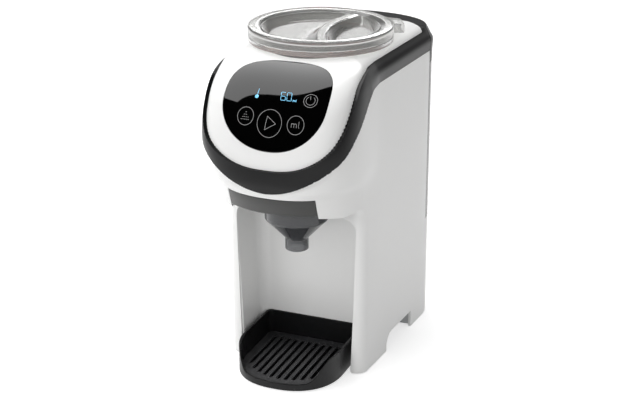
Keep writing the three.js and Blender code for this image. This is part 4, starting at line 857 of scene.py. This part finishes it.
class FM_OT_display(PieceOperator):
    """Models the display's curved window with its lit digits and key symbols"""

    bl_idname = "fm.display"
    bl_label = "Display"

    def execute(self, context):
        glass = carve(
            envelope("display_glass", FACE_SHARES, rows=90),
            envelope("inner", FACE_SHARES, POCKET_DEEP, rows=90),
        )
        keep_inside(glass, window_prism())
        self.fair(glass, GLASS_THICK)
        soften(glass, 0.25 * MM)
        dressed(glass, PALETTE["window"], "housing", "display_glass", "display_window")
        self.symbols(glass, context.scene.fm_display.line)
        return {"FINISHED"}

    def fair(self, glass, thick):
        """Lays the glass on one even surface, so that a reflection runs cleanly across it."""
        c, s = math.cos(WINDOW_TILT), math.sin(WINDOW_TILT)
        x, y, z = (read(glass) - (0, WINDOW_Y, WINDOW_Z)).T
        up, out = y * c + z * s, z * c - y * s
        terms = np.stack([
            (x / NOSE_HALF) ** i * (up / NOSE_HALF) ** j for i in (0, 2, 4) for j in range(5 - i)
        ], axis=1)
        level = terms @ np.linalg.lstsq(terms, out, rcond=None)[0]
        outer = out > level
        level = terms @ np.linalg.lstsq(terms[outer], out[outer], rcond=None)[0]
        outer = out > level - thick / 2
        write(glass, lean_back(np.stack([x, up, level - np.where(outer, 0, thick)], axis=1)))

    def symbols(self, glass, line):
        groups = {
            "key_symbols": (self.key_lines(), PALETTE["symbols"]),
            "lit_digits": (self.digit_lines(), PALETTE["digits"]),
        }
        for name, (strokes, ink) in groups.items():
            pieces = [self.stroke(points, closed, line) for points, closed in strokes]
            alone(pieces[0])
            for piece in pieces:
                piece.select_set(True)
            bpy.ops.object.join()
            group = started(name)
            write(group, lean_back(read(group) * (1, 1, 0) + (0, 0, ABOVE_GLASS)))
            self.drop_on(group, glass)
            dressed(group, ink, "housing", "display_glass")

    def drop_on(self, group, glass):
        """Drops each point square to the display's plane onto the glass."""
        out = Vector((0, -math.sin(WINDOW_TILT), math.cos(WINDOW_TILT)))
        places = []
        for place in read(group):
            hit, where = glass.ray_cast(Vector(place), -out)[:2]
            places.append(where + out * INK_HIGH if hit else Vector(place) - out * ABOVE_GLASS)
        write(group, [list(place) for place in places])

    def stroke(self, points, closed, line):
        """A flat ribbon along a line of points."""
        points = np.asarray(points, float)
        ahead = np.roll(points, -1, axis=0) - points
        behind = points - np.roll(points, 1, axis=0)
        if not closed:
            ahead[-1], behind[0] = behind[-1], ahead[0]
        ahead /= np.linalg.norm(ahead, axis=1)[:, None]
        behind /= np.linalg.norm(behind, axis=1)[:, None]
        tangent = ahead + behind
        tangent /= np.linalg.norm(tangent, axis=1)[:, None]
        normal = pairs(-tangent[:, 1], tangent[:, 0])
        mitre = np.abs((normal * pairs(-ahead[:, 1], ahead[:, 0])).sum(1))
        off = normal * (line / 2) / np.maximum(mitre, 0.5)[:, None]
        rows = [points + off, points - off]
        if closed:
            rows = [np.vstack([row, row[:1]]) for row in rows]
        rows = [np.hstack([row, np.zeros((len(row), 1))]) for row in rows]
        return skin("stroke", rows)

    def circle(self, x, y, radius, start=0.0, end=2 * math.pi):
        full = end - start == 2 * math.pi
        angles = np.linspace(start, end, 64, endpoint=not full)
        return pairs(x + radius * np.cos(angles), y + radius * np.sin(angles)) * MM, full

    def line(self, *points, closed=False):
        return self.dense(np.array(points) * MM, closed), closed

    def key_lines(self):
        """Round keys for scoop, start, millilitres and power, in millimetres on the window's plane."""
        lines = [
            self.circle(0.8, -21.3, 11.6), self.circle(-22.9, -17.6, 7.7),
            self.circle(25.6, -20.3, 7.8), self.circle(34.6, 2.7, 6.3),
        ]
        lines.append(self.line((-1.9, -15.7), (6.8, -21.5), (-3.0, -27.2), closed=True))
        dashes = [(-23.4, -22.4), (-24.6, -21.4), (-25.8, -20.4), (-27, -19.3)]
        for row, (left, right) in enumerate(dashes):
            up = -14.2 - 2.1 * row
            for x in np.arange(left, right, 1.7):
                lines.append(self.line((x, up), (x + 1.0, up - 0.1)))
        lines.append(self.circle(34.6, 2.7, 4.1, math.radians(125), math.radians(415)))
        lines.append(self.line((34.4, 3.6), (33.6, 7.4)))
        lines += self.unit_lines(21.8, -22.6, 1.0)
        return lines

    def unit_lines(self, x, up, size):
        """The two letters of the unit, from upright strokes and arches."""
        arches = []
        for shift in (0.0, 2.4):
            arch = [(x + (shift + 1.2 + 1.2 * math.cos(a)) * size,
                     up + (2.2 + 1.1 * math.sin(a)) * size) for a in np.linspace(math.pi, 0, 9)]
            arches.append(self.line(*arch, (x + (shift + 2.4) * size, up)))
        stem = self.line((x, up), (x - 0.1 * size, up + 3.4 * size))
        tall = self.line((x + 6.6 * size, up + 5.4 * size), (x + 6.8 * size, up + 0.7 * size),
                         (x + 7.4 * size, up))
        return [stem, *arches, tall]

    def dense(self, points, closed, step=1.2 * MM):
        ends = np.vstack([points, points[:1]]) if closed else points
        out = []
        for a, b in zip(ends, ends[1:]):
            count = max(int(np.linalg.norm(b - a) / step), 1)
            out.extend(a + (b - a) * k / count for k in range(count))
        if not closed:
            out.append(ends[-1])
        return np.array(out)

    def digit_lines(self):
        """Seven-segment digits, their unit and a thermometer."""
        lines = []
        wide, tall, slant, pull = 4.3, 7.9, -0.15, 0.08
        for left, segments in ((6.8, "afedcg"), (12.6, "abcdef")):
            corner = {
                "a": ((0, tall), (wide, tall)), "b": ((wide, tall), (wide, tall / 2)),
                "c": ((wide, tall / 2), (wide, 0)), "d": ((0, 0), (wide, 0)),
                "e": ((0, tall / 2), (0, 0)), "f": ((0, tall), (0, tall / 2)),
                "g": ((0, tall / 2), (wide, tall / 2)),
            }
            for segment in segments:
                (ax, ay), (bx, by) = corner[segment]
                a = np.array([left + ax + ay * slant, ay])
                b = np.array([left + bx + by * slant, by])
                lines.append(self.line(a + (b - a) * pull, b - (b - a) * pull))
        lines += self.unit_lines(18.6, -0.3, 0.42)
        lines.append(self.line((-16.3, 1.6), (-16.0, 8.6)))
        for radius in (1.5, 1.0, 0.45):
            lines.append(self.circle(-16.3, 0.9, radius))
        return lines


class FM_OT_hopper(PieceOperator):
    """Models the clear powder container and its well"""

    bl_idname = "fm.hopper"
    bl_label = "Powder container"

    def execute(self, context):
        floor, top = RIM_LOW.z, RIM_HIGH.z
        rim_low = top - 4.7 * MM
        wall = 2.0 * MM
        body, rim = 60.5 * MM, RIM_HIGH.x
        inner = body - wall
        hole = 5.6 * MM
        profile = [
            (hole, floor), (body - 3 * MM, floor), (body - 0.9 * MM, floor + 0.9 * MM),
            (body, floor + 3 * MM), (body, rim_low), (rim - 0.4 * MM, rim_low),
            (rim, rim_low + 0.4 * MM), (rim, top - 0.4 * MM), (rim - 0.4 * MM, top),
            (inner + 0.4 * MM, top), (inner, top - 0.4 * MM), (inner, floor + 4 * MM),
            (inner - 1.2 * MM, floor + 2.8 * MM), (inner - 3 * MM, floor + 2.4 * MM),
            (hole, floor + 2.4 * MM), (hole, floor),
        ]
        container = turned("container_moulding", profile, 0, HOPPER_Y, 128)
        carve(container, rod("outlet", 0, OUTLET_Y, 9 * MM, floor - PAST, floor + PAST, 48))
        smooth(container, TURNED_SHARP)
        container.visible_glossy = False
        container.visible_shadow = False
        dressed(container, PALETTE["powder"], "container", "clear_plastic", "powder_container")
        self.well()
        return {"FINISHED"}

    def well(self):
        low, high = WELL_LOW.z, WELL_HIGH.z
        outer = WELL_HIGH.x
        inner = outer - 2.5 * MM
        dog = 8.6 * MM
        profile = [
            (dog, low), (outer - 1 * MM, low), (outer, low + 1 * MM), (outer, high - 0.5 * MM),
            (outer - 0.5 * MM, high), (inner + 0.5 * MM, high), (inner, high - 0.5 * MM),
            (inner, low + 4 * MM), (inner - 1.5 * MM, low + 2.5 * MM), (dog, low + 2.5 * MM),
            (dog, low),
        ]
        well = turned("well_moulding", profile, 0, HOPPER_Y, 128)
        carve(well, rod("outlet", 0, OUTLET_Y, 9.6 * MM, low - PAST, low + PAST, 48))
        smooth(well, TURNED_SHARP)
        dressed(well, PALETTE["chassis"], "housing", "grey_abs", "container_well")


class FM_OT_lid(PieceOperator):
    """Models the clear powder lid with its sunk dish, curved grip and side ear"""

    bl_idname = "fm.lid"
    bl_label = "Powder lid"

    def execute(self, context):
        z0 = RIM_HIGH.z + SEAM
        top = LID_HIGH.z
        rim = 68.8 * MM
        skirt = 2.3 * MM
        dish, mouth = 57.2 * MM, 60.6 * MM
        plug = LID_LOW.z
        ring_profile = [
            (dish - skirt, plug), (dish, plug), (dish, top - 5 * MM), (rim - skirt, top - 4.2 * MM),
            (rim - skirt, z0), (rim - 0.4 * MM, z0), (rim, z0 + 0.4 * MM), (rim, top - 1.6 * MM),
            (rim - 0.5 * MM, top - 0.5 * MM), (rim - 1.6 * MM, top), (mouth + 0.6 * MM, top),
            (mouth, top - 0.4 * MM), (dish, top - 2.6 * MM), (dish - skirt, top - 7 * MM),
            (dish - skirt, plug),
        ]
        lid = turned("lid_moulding", ring_profile, 0, HOPPER_Y, 144)
        fuse(lid, self.bowl(dish - skirt + 0.4 * MM, top), self.ear(rim, z0, top))
        smooth(lid, TURNED_SHARP)
        lid.visible_glossy = False
        lid.visible_shadow = False  # clear: light reaches what lies under it
        dressed(lid, PALETTE["powder"], "lid", "clear_plastic", "powder_lid")
        return {"FINISHED"}

    def bowl(self, radius, top):
        """The sunk dish: a floor with a curved grip standing across it."""
        floor = top - 9.5 * MM
        r = np.linspace(0, 1, 40) ** 0.8
        angles = np.linspace(0, 2 * math.pi, 145)
        x = radius * r[:, None] * np.cos(angles)
        y = radius * r[:, None] * np.sin(angles)
        bend = 105 * MM
        away = np.hypot(x - (bend + 8 * MM), y - 8 * MM) - bend
        left, right = np.exp(-((away / (11 * MM)) ** 2)), np.exp(-((away / (5 * MM)) ** 2))
        grip = np.where(away > 0, left, right)
        flat_top = np.clip(grip * 1.35, 0, 1)
        rise = flat_top * (top - floor - 1.2 * MM)
        edge = np.clip((r[:, None] - 0.86) / 0.14, 0, 1)
        z = floor + np.maximum(rise, edge**2 * (top - floor - 2 * MM))
        upper = np.stack([x, y + HOPPER_Y, z], axis=2)
        bowl = skin("bowl", upper)
        applied(bowl, "SOLIDIFY", thickness=1.8 * MM, offset=-1)
        return bowl

    def ear(self, rim, z0, top):
        """A hollow sector at the lid's edge, which tapers back to it."""
        reach, wall = rim + 9.7 * MM, 3 * MM
        side = math.degrees(wall / reach)
        ear = prism("ear", self.sector(rim - 1.15 * MM, reach, 22.5, 36, 48), z0, top - SEAM)
        hollow = self.sector(rim + SEAM, reach - wall, 22.5 + side, 36, 36 + side)
        carve(ear, prism("hollow", hollow, z0 - PAST, top - wall))
        soften(ear, 0.6 * MM, segments=3)
        return ear

    def sector(self, inner, outer, start, full, end):
        low = np.radians(np.linspace(start, full, 13))
        taper = np.linspace(0, 1, 13)[1:]
        turn = np.concatenate([low, np.radians(full + (end - full) * taper)])
        blend = np.concatenate([np.ones(13), (1 + np.cos(math.pi * taper)) / 2])
        radius = inner + SEAM + (outer - inner - SEAM) * blend
        back = np.radians(np.linspace(end, start, 14))
        turn, radius = np.concatenate([turn, back]), np.concatenate([radius, np.full(14, inner)])
        return pairs(radius * np.cos(turn), HOPPER_Y + radius * np.sin(turn))


def pin_bore(x, reach):
    """The hinge pin's hole, both ways from a place across."""
    ring = arc(PIN_Y, PIN_Z, PIN_BORE, 0, 2 * math.pi, 25)[:-1]
    return prism("bore", ring, x - reach, x + reach, "YZ")


class FM_OT_tank(PieceOperator):
    """Models the smoked water tank behind the housing"""

    bl_idname = "fm.tank"
    bl_label = "Water tank"

    def execute(self, context):
        wall = 2.2 * MM
        low, high = TANK_LOW.z, TANK_HIGH.z
        tank = self.crescent("tank_moulding", 0, low, high)
        carve(tank, self.crescent("hollow", wall, low + wall, high + FAR))
        y = sum(corner.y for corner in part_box("valve_poppet")) / 2
        carve(tank, rod("hole", 0, y, 6.6 * MM, low - PAST, low + PAST, 48))
        fuse(tank, self.lug(-1), self.lug(1))
        soften(tank, 0.5 * MM)
        dressed(tank, PALETTE["tank"], "tank", "smoke_clear", "water_tank")
        return {"FINISHED"}

    def crescent(self, name, inset, low, high):
        base = BODY_SHARES[0][1:]
        flat = [(low / DECK_EDGE_Z, *base), (high / DECK_EDGE_Z, *base)]
        return keep_inside(envelope(name, flat, inset, rows=2), tank_space(0, -TANK_GAP - inset))

    def lug(self, side):
        outline = arc(PIN_Y, PIN_Z, HINGE_RADIUS, -math.pi / 2, math.pi / 2, 14)
        back = BODY_HIGH.y - 1.4 * MM
        outline += [(back, PIN_Z + HINGE_RADIUS), (back, PIN_Z - HINGE_RADIUS)]
        x, half = side * 10.5 * MM, 5 * MM
        return carve(prism("lug", outline, x - half, x + half, "YZ"), pin_bore(x, PAST))


class FM_OT_tank_cap(PieceOperator):
    """Models the black cap of the water tank, which carries the trim band round the back"""

    bl_idname = "fm.tank_cap"
    bl_label = "Tank cap"

    def execute(self, context):
        thick = 3 * MM
        foot = TANK_HIGH.z + SEAM
        cap = self.crescent("cap_moulding", 0, foot)
        carve(cap, self.crescent("hollow", thick, foot - PAST))
        fuse(cap, self.knuckle())
        soften(cap, 0.6 * MM)
        dressed(cap, PALETTE["black"], "tank_cap", "black_abs", "tank_lid")
        return {"FINISHED"}

    def crescent(self, name, inset, low):
        return keep_inside(envelope(name, TRIM_SHARES, inset, rows=24, low=low),
                           tank_space(TANK_FLOOR_Z, -TANK_GAP - inset))

    def knuckle(self):
        radius, half = HINGE_RADIUS, 4.75 * MM
        neck = PIN_Y - radius / 2
        root = PIN_Y - 3 * radius
        high = TANK_HIGH.z + 8 * MM
        low = high - 4 * MM
        outline = arc(PIN_Y, PIN_Z, radius, -math.pi, 0, 14)
        outline[0] = (neck, PIN_Z)
        outline += [(PIN_Y + radius, high), (root, high), (root, low), (neck, low)]
        return carve(prism("knuckle", outline, -half, half, "YZ"), pin_bore(0, half * 2))


class FM_OT_drawer(PieceOperator):
    """Models the funnel drawer with its curved front"""

    bl_idname = "fm.drawer"
    bl_label = "Funnel drawer"

    def execute(self, context):
        low, high = DRAWER_LOW, DRAWER_HIGH
        wall = 2.5 * MM
        rail = 40 * MM
        floor = low.z + 5 * MM
        front = envelope("drawer_moulding", BODY_SHARES, rows=60, low=150 * MM, high=220 * MM)
        carve(front, self.inside(wall))
        keep_inside(front, block("front", (low.x, high.x), (APEX_Y - FAR, DRAWER_CUT_Y),
                                 (low.z + 6.5 * MM, high.z)))
        tray = block("drawer_tray", (-rail, rail), (APEX_Y, high.y), (floor, low.z + 12 * MM))
        keep_inside(tray, self.inside(1.6 * MM))
        carve(
            tray,
            block("hollow", (-rail + wall, rail - wall), (NOSE_Y - 52 * MM, high.y - wall),
                  (floor + wall, high.z)),
            rod("hole", 0, NOSE_Y, 32.6 * MM, low.z - PAST, low.z + PAST, 96),
        )
        for piece in (front, tray):
            soften(piece, 0.4 * MM)
            dressed(piece, PALETTE["drawer"], "drawer", "smoke_plastic", "funnel_drawer")
        return {"FINISHED"}

    def inside(self, inset):
        """The space inside the housing's skin, at the drawer's height."""
        return envelope("inside", BODY_SHARES, inset, rows=60, low=120 * MM, high=250 * MM)


class FM_OT_funnel(PieceOperator):
    """Models the smoked funnel"""

    bl_idname = "fm.funnel"
    bl_label = "Funnel"

    def execute(self, context):
        low, high = FUNNEL_LOW.z, FUNNEL_HIGH.z
        flange = high - 1.8 * MM
        wall = 1.8 * MM
        cone, spout, neck = 30.5 * MM, 11.2 * MM, 133 * MM
        shoulder = 153.8 * MM
        profile = [
            (spout - wall, low), (spout - 0.4 * MM, low), (spout, low + 0.5 * MM),
            (spout, neck - MM), (spout + 0.4 * MM, neck + 0.6 * MM), (cone - 0.6 * MM, shoulder - MM),
            (cone, shoulder), (cone, flange), (FUNNEL_HIGH.x, flange), (FUNNEL_HIGH.x, high),
            (cone - wall, high), (cone - wall, shoulder + 0.6 * MM),
            (cone - wall - 0.6 * MM, shoulder - 0.4 * MM), (spout - wall + 0.4 * MM, neck + 1.2 * MM),
            (spout - wall, neck), (spout - wall, low),
        ]
        funnel = turned("funnel_moulding", profile, 0, NOSE_Y, 96)
        smooth(funnel, TURNED_SHARP)
        funnel.visible_shadow = False
        dressed(funnel, PALETTE["smoke"], "drawer", "smoke_clear", "funnel")
        return {"FINISHED"}


class FM_OT_tray(PieceOperator):
    """Models the drip tray with its dipped rim, and the slotted grid"""

    bl_idname = "fm.tray"
    bl_label = "Drip tray"

    DIP_SHARES = [(0.53, 0), (0.57, 0.01), (0.62, 0.06), (0.66, 0.13), (0.7, 0.24), (0.74, 0.38),
                  (0.78, 0.56), (0.82, 0.75), (0.86, 0.9), (0.9, 0.98), (0.94, 1), (0.96, 1.1)]
    SQUARENESS = 2.3
    NARROW = 0.965
    CENTRE_Y = TRAY_LOW.y + TRAY_HIGH.x

    def outline(self, inset):
        radius = TRAY_HIGH.x - inset
        angles = np.linspace(math.pi, 2 * math.pi, 90)
        c, s = np.cos(angles), np.sin(angles)
        power = 2 / self.SQUARENESS
        front = pairs(radius * np.sign(c) * np.abs(c) ** power,
                      self.CENTRE_Y + radius * np.sign(s) * np.abs(s) ** power)
        rear = TRAY_HIGH.y - inset
        corner = 5 * MM
        turn = np.linspace(0, math.pi / 2, 7)
        right = pairs(radius - corner + corner * np.cos(turn), rear - corner + corner * np.sin(turn))
        left = right[::-1] * (-1, 1)
        return np.vstack([front, right, left]) * (self.NARROW, 1)

    def execute(self, context):
        low, high = TRAY_LOW.z, TRAY_HIGH.z
        wall, ledge = 2.6 * MM, 3 * MM
        dip_z = 7.5 * MM
        tray = prism("tray_moulding", self.outline(0), low, high)
        carve(tray, prism("well", self.outline(wall + ledge), low + 1.6 * MM, high + FAR))
        carve(tray, prism("upper", self.outline(wall), GRID_LOW.z - SEAM, high + FAR))
        shares = np.asarray(self.DIP_SHARES)
        right = pairs(TRAY_HIGH.x * shares[:, 0], dip_z + (high - dip_z) * shares[:, 1])
        right = np.vstack([right, [TRAY_HIGH.x * 0.96, high + FAR]])
        dip = np.vstack([right[::-1] * (-1, 1), right])
        carve(tray, prism("dip", dip, TRAY_LOW.y - FAR, self.CENTRE_Y - wall, "XZ"))
        soften(tray, 0.7 * MM, split=True)
        dressed(tray, PALETTE["tray"], "tray", "black_abs", "drip_tray")
        self.grid(wall)
        return {"FINISHED"}

    def grid(self, wall):
        plate = prism("grid_moulding", self.outline(wall + 0.6 * MM), GRID_LOW.z, GRID_HIGH.z)
        reach = TRAY_HIGH.x - wall - 6 * MM
        count, half = 11, 1.7 * MM
        pitch = reach * 2 / (count + 1)
        for i in range(1, count + 1):
            x = -reach + pitch * i
            front = self.CENTRE_Y - math.sqrt(max(reach**2 - x**2, 0)) + 3 * MM + half
            rear = TRAY_HIGH.y - 12 * MM - half
            slot = arc(x, rear, half, 0, math.pi, 9) + arc(x, front, half, math.pi, 2 * math.pi, 9)
            carve(plate, prism("slot", slot, GRID_LOW.z - PAST, GRID_HIGH.z + PAST))
        soften(plate, 0.4 * MM)
        dressed(plate, PALETTE["satin_black"], "grid", "black_matte", "tray_grid")


class FM_OT_inner_works(PieceOperator):
    """Gives the inner parts that keep the frame's own shape their finish"""

    bl_idname = "fm.inner_works"
    bl_label = "Inner works"

    FINISHES = {
        "chassis": ["base_plate", "chassis_plate", "dispense_block", "drive_coupling", "heater_stand",
                    "drawer_rail_left", "drawer_rail_right"],
        "satin_black": ["mains_inlet", "container_switch", "water_pump", "water_nozzle"],
        "board": ["display_board", "power_board"],
        "steel": ["stir_motor", "tank_hinge_pin", "valve_spring",
                  *[f"{place}_screw_{i}" for place in ("base", "chassis") for i in range(1, 5)]],
        "cast": ["heater_block"],
        "rubber": ["pump_cradle", "foot_front_left", "foot_front_right", "foot_rear_left",
                   "foot_rear_right"],
        "silicone": ["dock_seat", "tank_hose", "pump_hose", "mix_hose"],
        "milky": ["valve_poppet"],
        "blush": ["lid_seal"],
        "coral": ["stirring_wheel"],
    }

    def execute(self, context):
        for finish, names in self.FINISHES.items():
            for name in names:
                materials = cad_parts[name].data.materials
                if not materials:
                    materials.append(PALETTE[finish])
                for i in range(len(materials)):
                    materials[i] = PALETTE[finish]
        return {"FINISHED"}


class FM_OT_stage(PieceOperator):
    """Sets the floor, lamps, world and camera"""

    bl_idname = "fm.stage"
    bl_label = "Stage"

    def execute(self, context):
        scene = context.scene
        self.floor()
        self.lamps()
        self.world(scene)
        self.camera(scene)
        scene.view_settings.view_transform = "Standard"
        return {"FINISHED"}

    def floor(self):
        """White paper. It glows for the eye alone, so that it is white and still takes the shadow."""
        bpy.ops.mesh.primitive_plane_add(size=8)
        floor = started("studio_floor")
        material, surface = shader("studio_paper")
        surface.inputs["Base Color"].default_value = (*linear("#DADADA"), 1)
        surface.inputs["Emission Color"].default_value = (1, 1, 1, 1)
        surface.inputs["Roughness"].default_value = 0.9
        glow = add(material, "ShaderNodeMath", {"operation": "MULTIPLY"}, [(self.seen(material), 0)])
        glow.inputs[1].default_value = 0.62
        material.node_tree.links.new(glow.outputs[0], surface.inputs["Emission Strength"])
        floor.data.materials.append(material)

    def seen(self, owner):
        """One for the camera's own rays and for those that gloss and clear pieces send on."""
        path = add(owner, "ShaderNodeLightPath")
        first = add(owner, "ShaderNodeMath", {"operation": "MAXIMUM"},
                    [(path.outputs["Is Camera Ray"], 0), (path.outputs["Is Glossy Ray"], 1)])
        both = add(owner, "ShaderNodeMath", {"operation": "MAXIMUM"},
                   [(first.outputs[0], 0), (path.outputs["Is Transmission Ray"], 1)])
        return both.outputs[0]

    def lamps(self):
        """Three lamps that gloss doesn't see, and a softbox overhead that the display does."""
        lamps = {
            "key": ((-1.0, -1.7, 1.3), (1.2, 1.2), 11, None),
            "fill": ((1.8, -0.9, 0.8), (1.2, 1.2), 2, None),
            "front": ((0.35, -2.2, 0.4), (1.2, 1.2), 9, None),
            "overhead": ((-0.69, 0.1, 1.37), (2.0, 1.0), 22, 56.3),
        }
        for name, (place, size, power, turn) in lamps.items():
            bpy.ops.object.light_add(type="AREA", location=place)
            lamp = bpy.context.object
            lamp.name = lamp.data.name = f"softbox_{name}"
            lamp.data.shape = "RECTANGLE"
            lamp.data.size, lamp.data.size_y = size
            lamp.data.energy = power
            lamp.visible_glossy = turn is not None
            aim = Vector((0, 0, 0.17)) - Vector(place)
            lamp.rotation_euler = aim.to_track_quat("-Z", "Y").to_euler()
            if turn is not None:
                lamp.rotation_euler = (0, 0, math.radians(turn))

    def world(self, scene):
        """Even light. Behind the object the room is white; gloss sees it dark in front and above."""
        world = bpy.data.worlds.new("studio")
        scene.world = world
        world.use_nodes = True
        tree = world.node_tree
        light = tree.nodes["Background"]
        light.inputs["Color"].default_value = (1, 1, 1, 1)
        light.inputs["Strength"].default_value = 0.42
        white = add(world, "ShaderNodeBackground", {"Color": (1, 1, 1, 1)})
        way = add(world, "ShaderNodeTexCoord")
        axes = add(world, "ShaderNodeSeparateXYZ", (), [(way.outputs["Generated"], "Vector")])
        behind = add(world, "ShaderNodeMapRange", {"From Min": -0.1, "From Max": 0.4},
                     [(axes.outputs["Y"], "Value")])
        low = add(world, "ShaderNodeMapRange", {"From Min": 0.3, "From Max": 0.05},
                  [(axes.outputs["Z"], "Value")])
        wall = add(world, "ShaderNodeMath", {"operation": "MULTIPLY"},
                   [(behind.outputs[0], 0), (low.outputs[0], 1)])
        room = add(world, "ShaderNodeBackground", {"Color": (1, 1, 1, 1)},
                   [(wall.outputs[0], "Strength")])
        path = add(world, "ShaderNodeLightPath")
        gloss = add(world, "ShaderNodeMath", {"operation": "SUBTRACT", "use_clamp": True},
                    [(path.outputs["Is Glossy Ray"], 0), (path.outputs["Is Transmission Ray"], 1)])
        backdrop = add(world, "ShaderNodeMixShader", (),
                       [(gloss.outputs[0], 0), (white.outputs[0], 1), (room.outputs[0], 2)])
        mix = add(world, "ShaderNodeMixShader", (),
                  [(self.seen(world), 0), (light.outputs[0], 1), (backdrop.outputs[0], 2)])
        tree.links.new(mix.outputs[0], tree.nodes["World Output"].inputs["Surface"])

    def camera(self, scene):
        azimuth, elevation, away = math.radians(22.0), math.radians(20.918), 1447.2 * MM
        target = Vector((3.343 * MM, NOSE_Y + 50 * MM, 152.619 * MM))
        back = Vector((math.sin(azimuth) * math.cos(elevation),
                       -math.cos(azimuth) * math.cos(elevation), math.sin(elevation)))
        bpy.ops.object.camera_add(location=target + back * away)
        camera = bpy.context.object
        camera.rotation_euler = (-back).to_track_quat("-Z", "Y").to_euler()
        camera.data.sensor_width = 36
        camera.data.lens = 83.81
        camera.data.dof.use_dof = False
        scene.camera = camera


class FM_PT_panel(bpy.types.Panel):
    """Lists the settings and the pieces"""

    bl_idname = "FM_PT_panel"
    bl_label = "Formula Maker"
    bl_space_type = "VIEW_3D"
    bl_region_type = "UI"
    bl_category = "Formula Maker"

    def draw(self, context):
        for name in GROUPS:
            box = self.layout.box()
            group = getattr(context.scene, name)
            for setting in group.bl_rna.properties.keys():
                if setting not in ("rna_type", "name"):
                    box.prop(group, setting)
        for operator in PIECES:
            self.layout.operator(operator.bl_idname)


GROUPS = {"fm_housing": HousingSettings, "fm_clear": ClearSettings, "fm_display": DisplaySettings}
PIECES = [
    FM_OT_stage, FM_OT_housing, FM_OT_bay, FM_OT_trim, FM_OT_cover, FM_OT_display, FM_OT_hopper,
    FM_OT_lid, FM_OT_tank, FM_OT_tank_cap, FM_OT_drawer, FM_OT_funnel, FM_OT_tray, FM_OT_inner_works,
]


def register():
    for group in (*GROUPS.values(), *PIECES, FM_PT_panel):
        bpy.utils.register_class(group)
    for name, group in GROUPS.items():
        setattr(bpy.types.Scene, name, bpy.props.PointerProperty(type=group))


def unregister():
    for name in GROUPS:
        delattr(bpy.types.Scene, name)
    for group in reversed((*GROUPS.values(), *PIECES, FM_PT_panel)):
        bpy.utils.unregister_class(group)


def main():
    register()
    bpy.ops.object.select_all(action="DESELECT")
    mix_palette(bpy.context.scene)
    for operator in PIECES:
        name = operator.bl_idname.split(".")[1]
        getattr(bpy.ops.fm, name)()


if __name__ == "__main__":
    main()
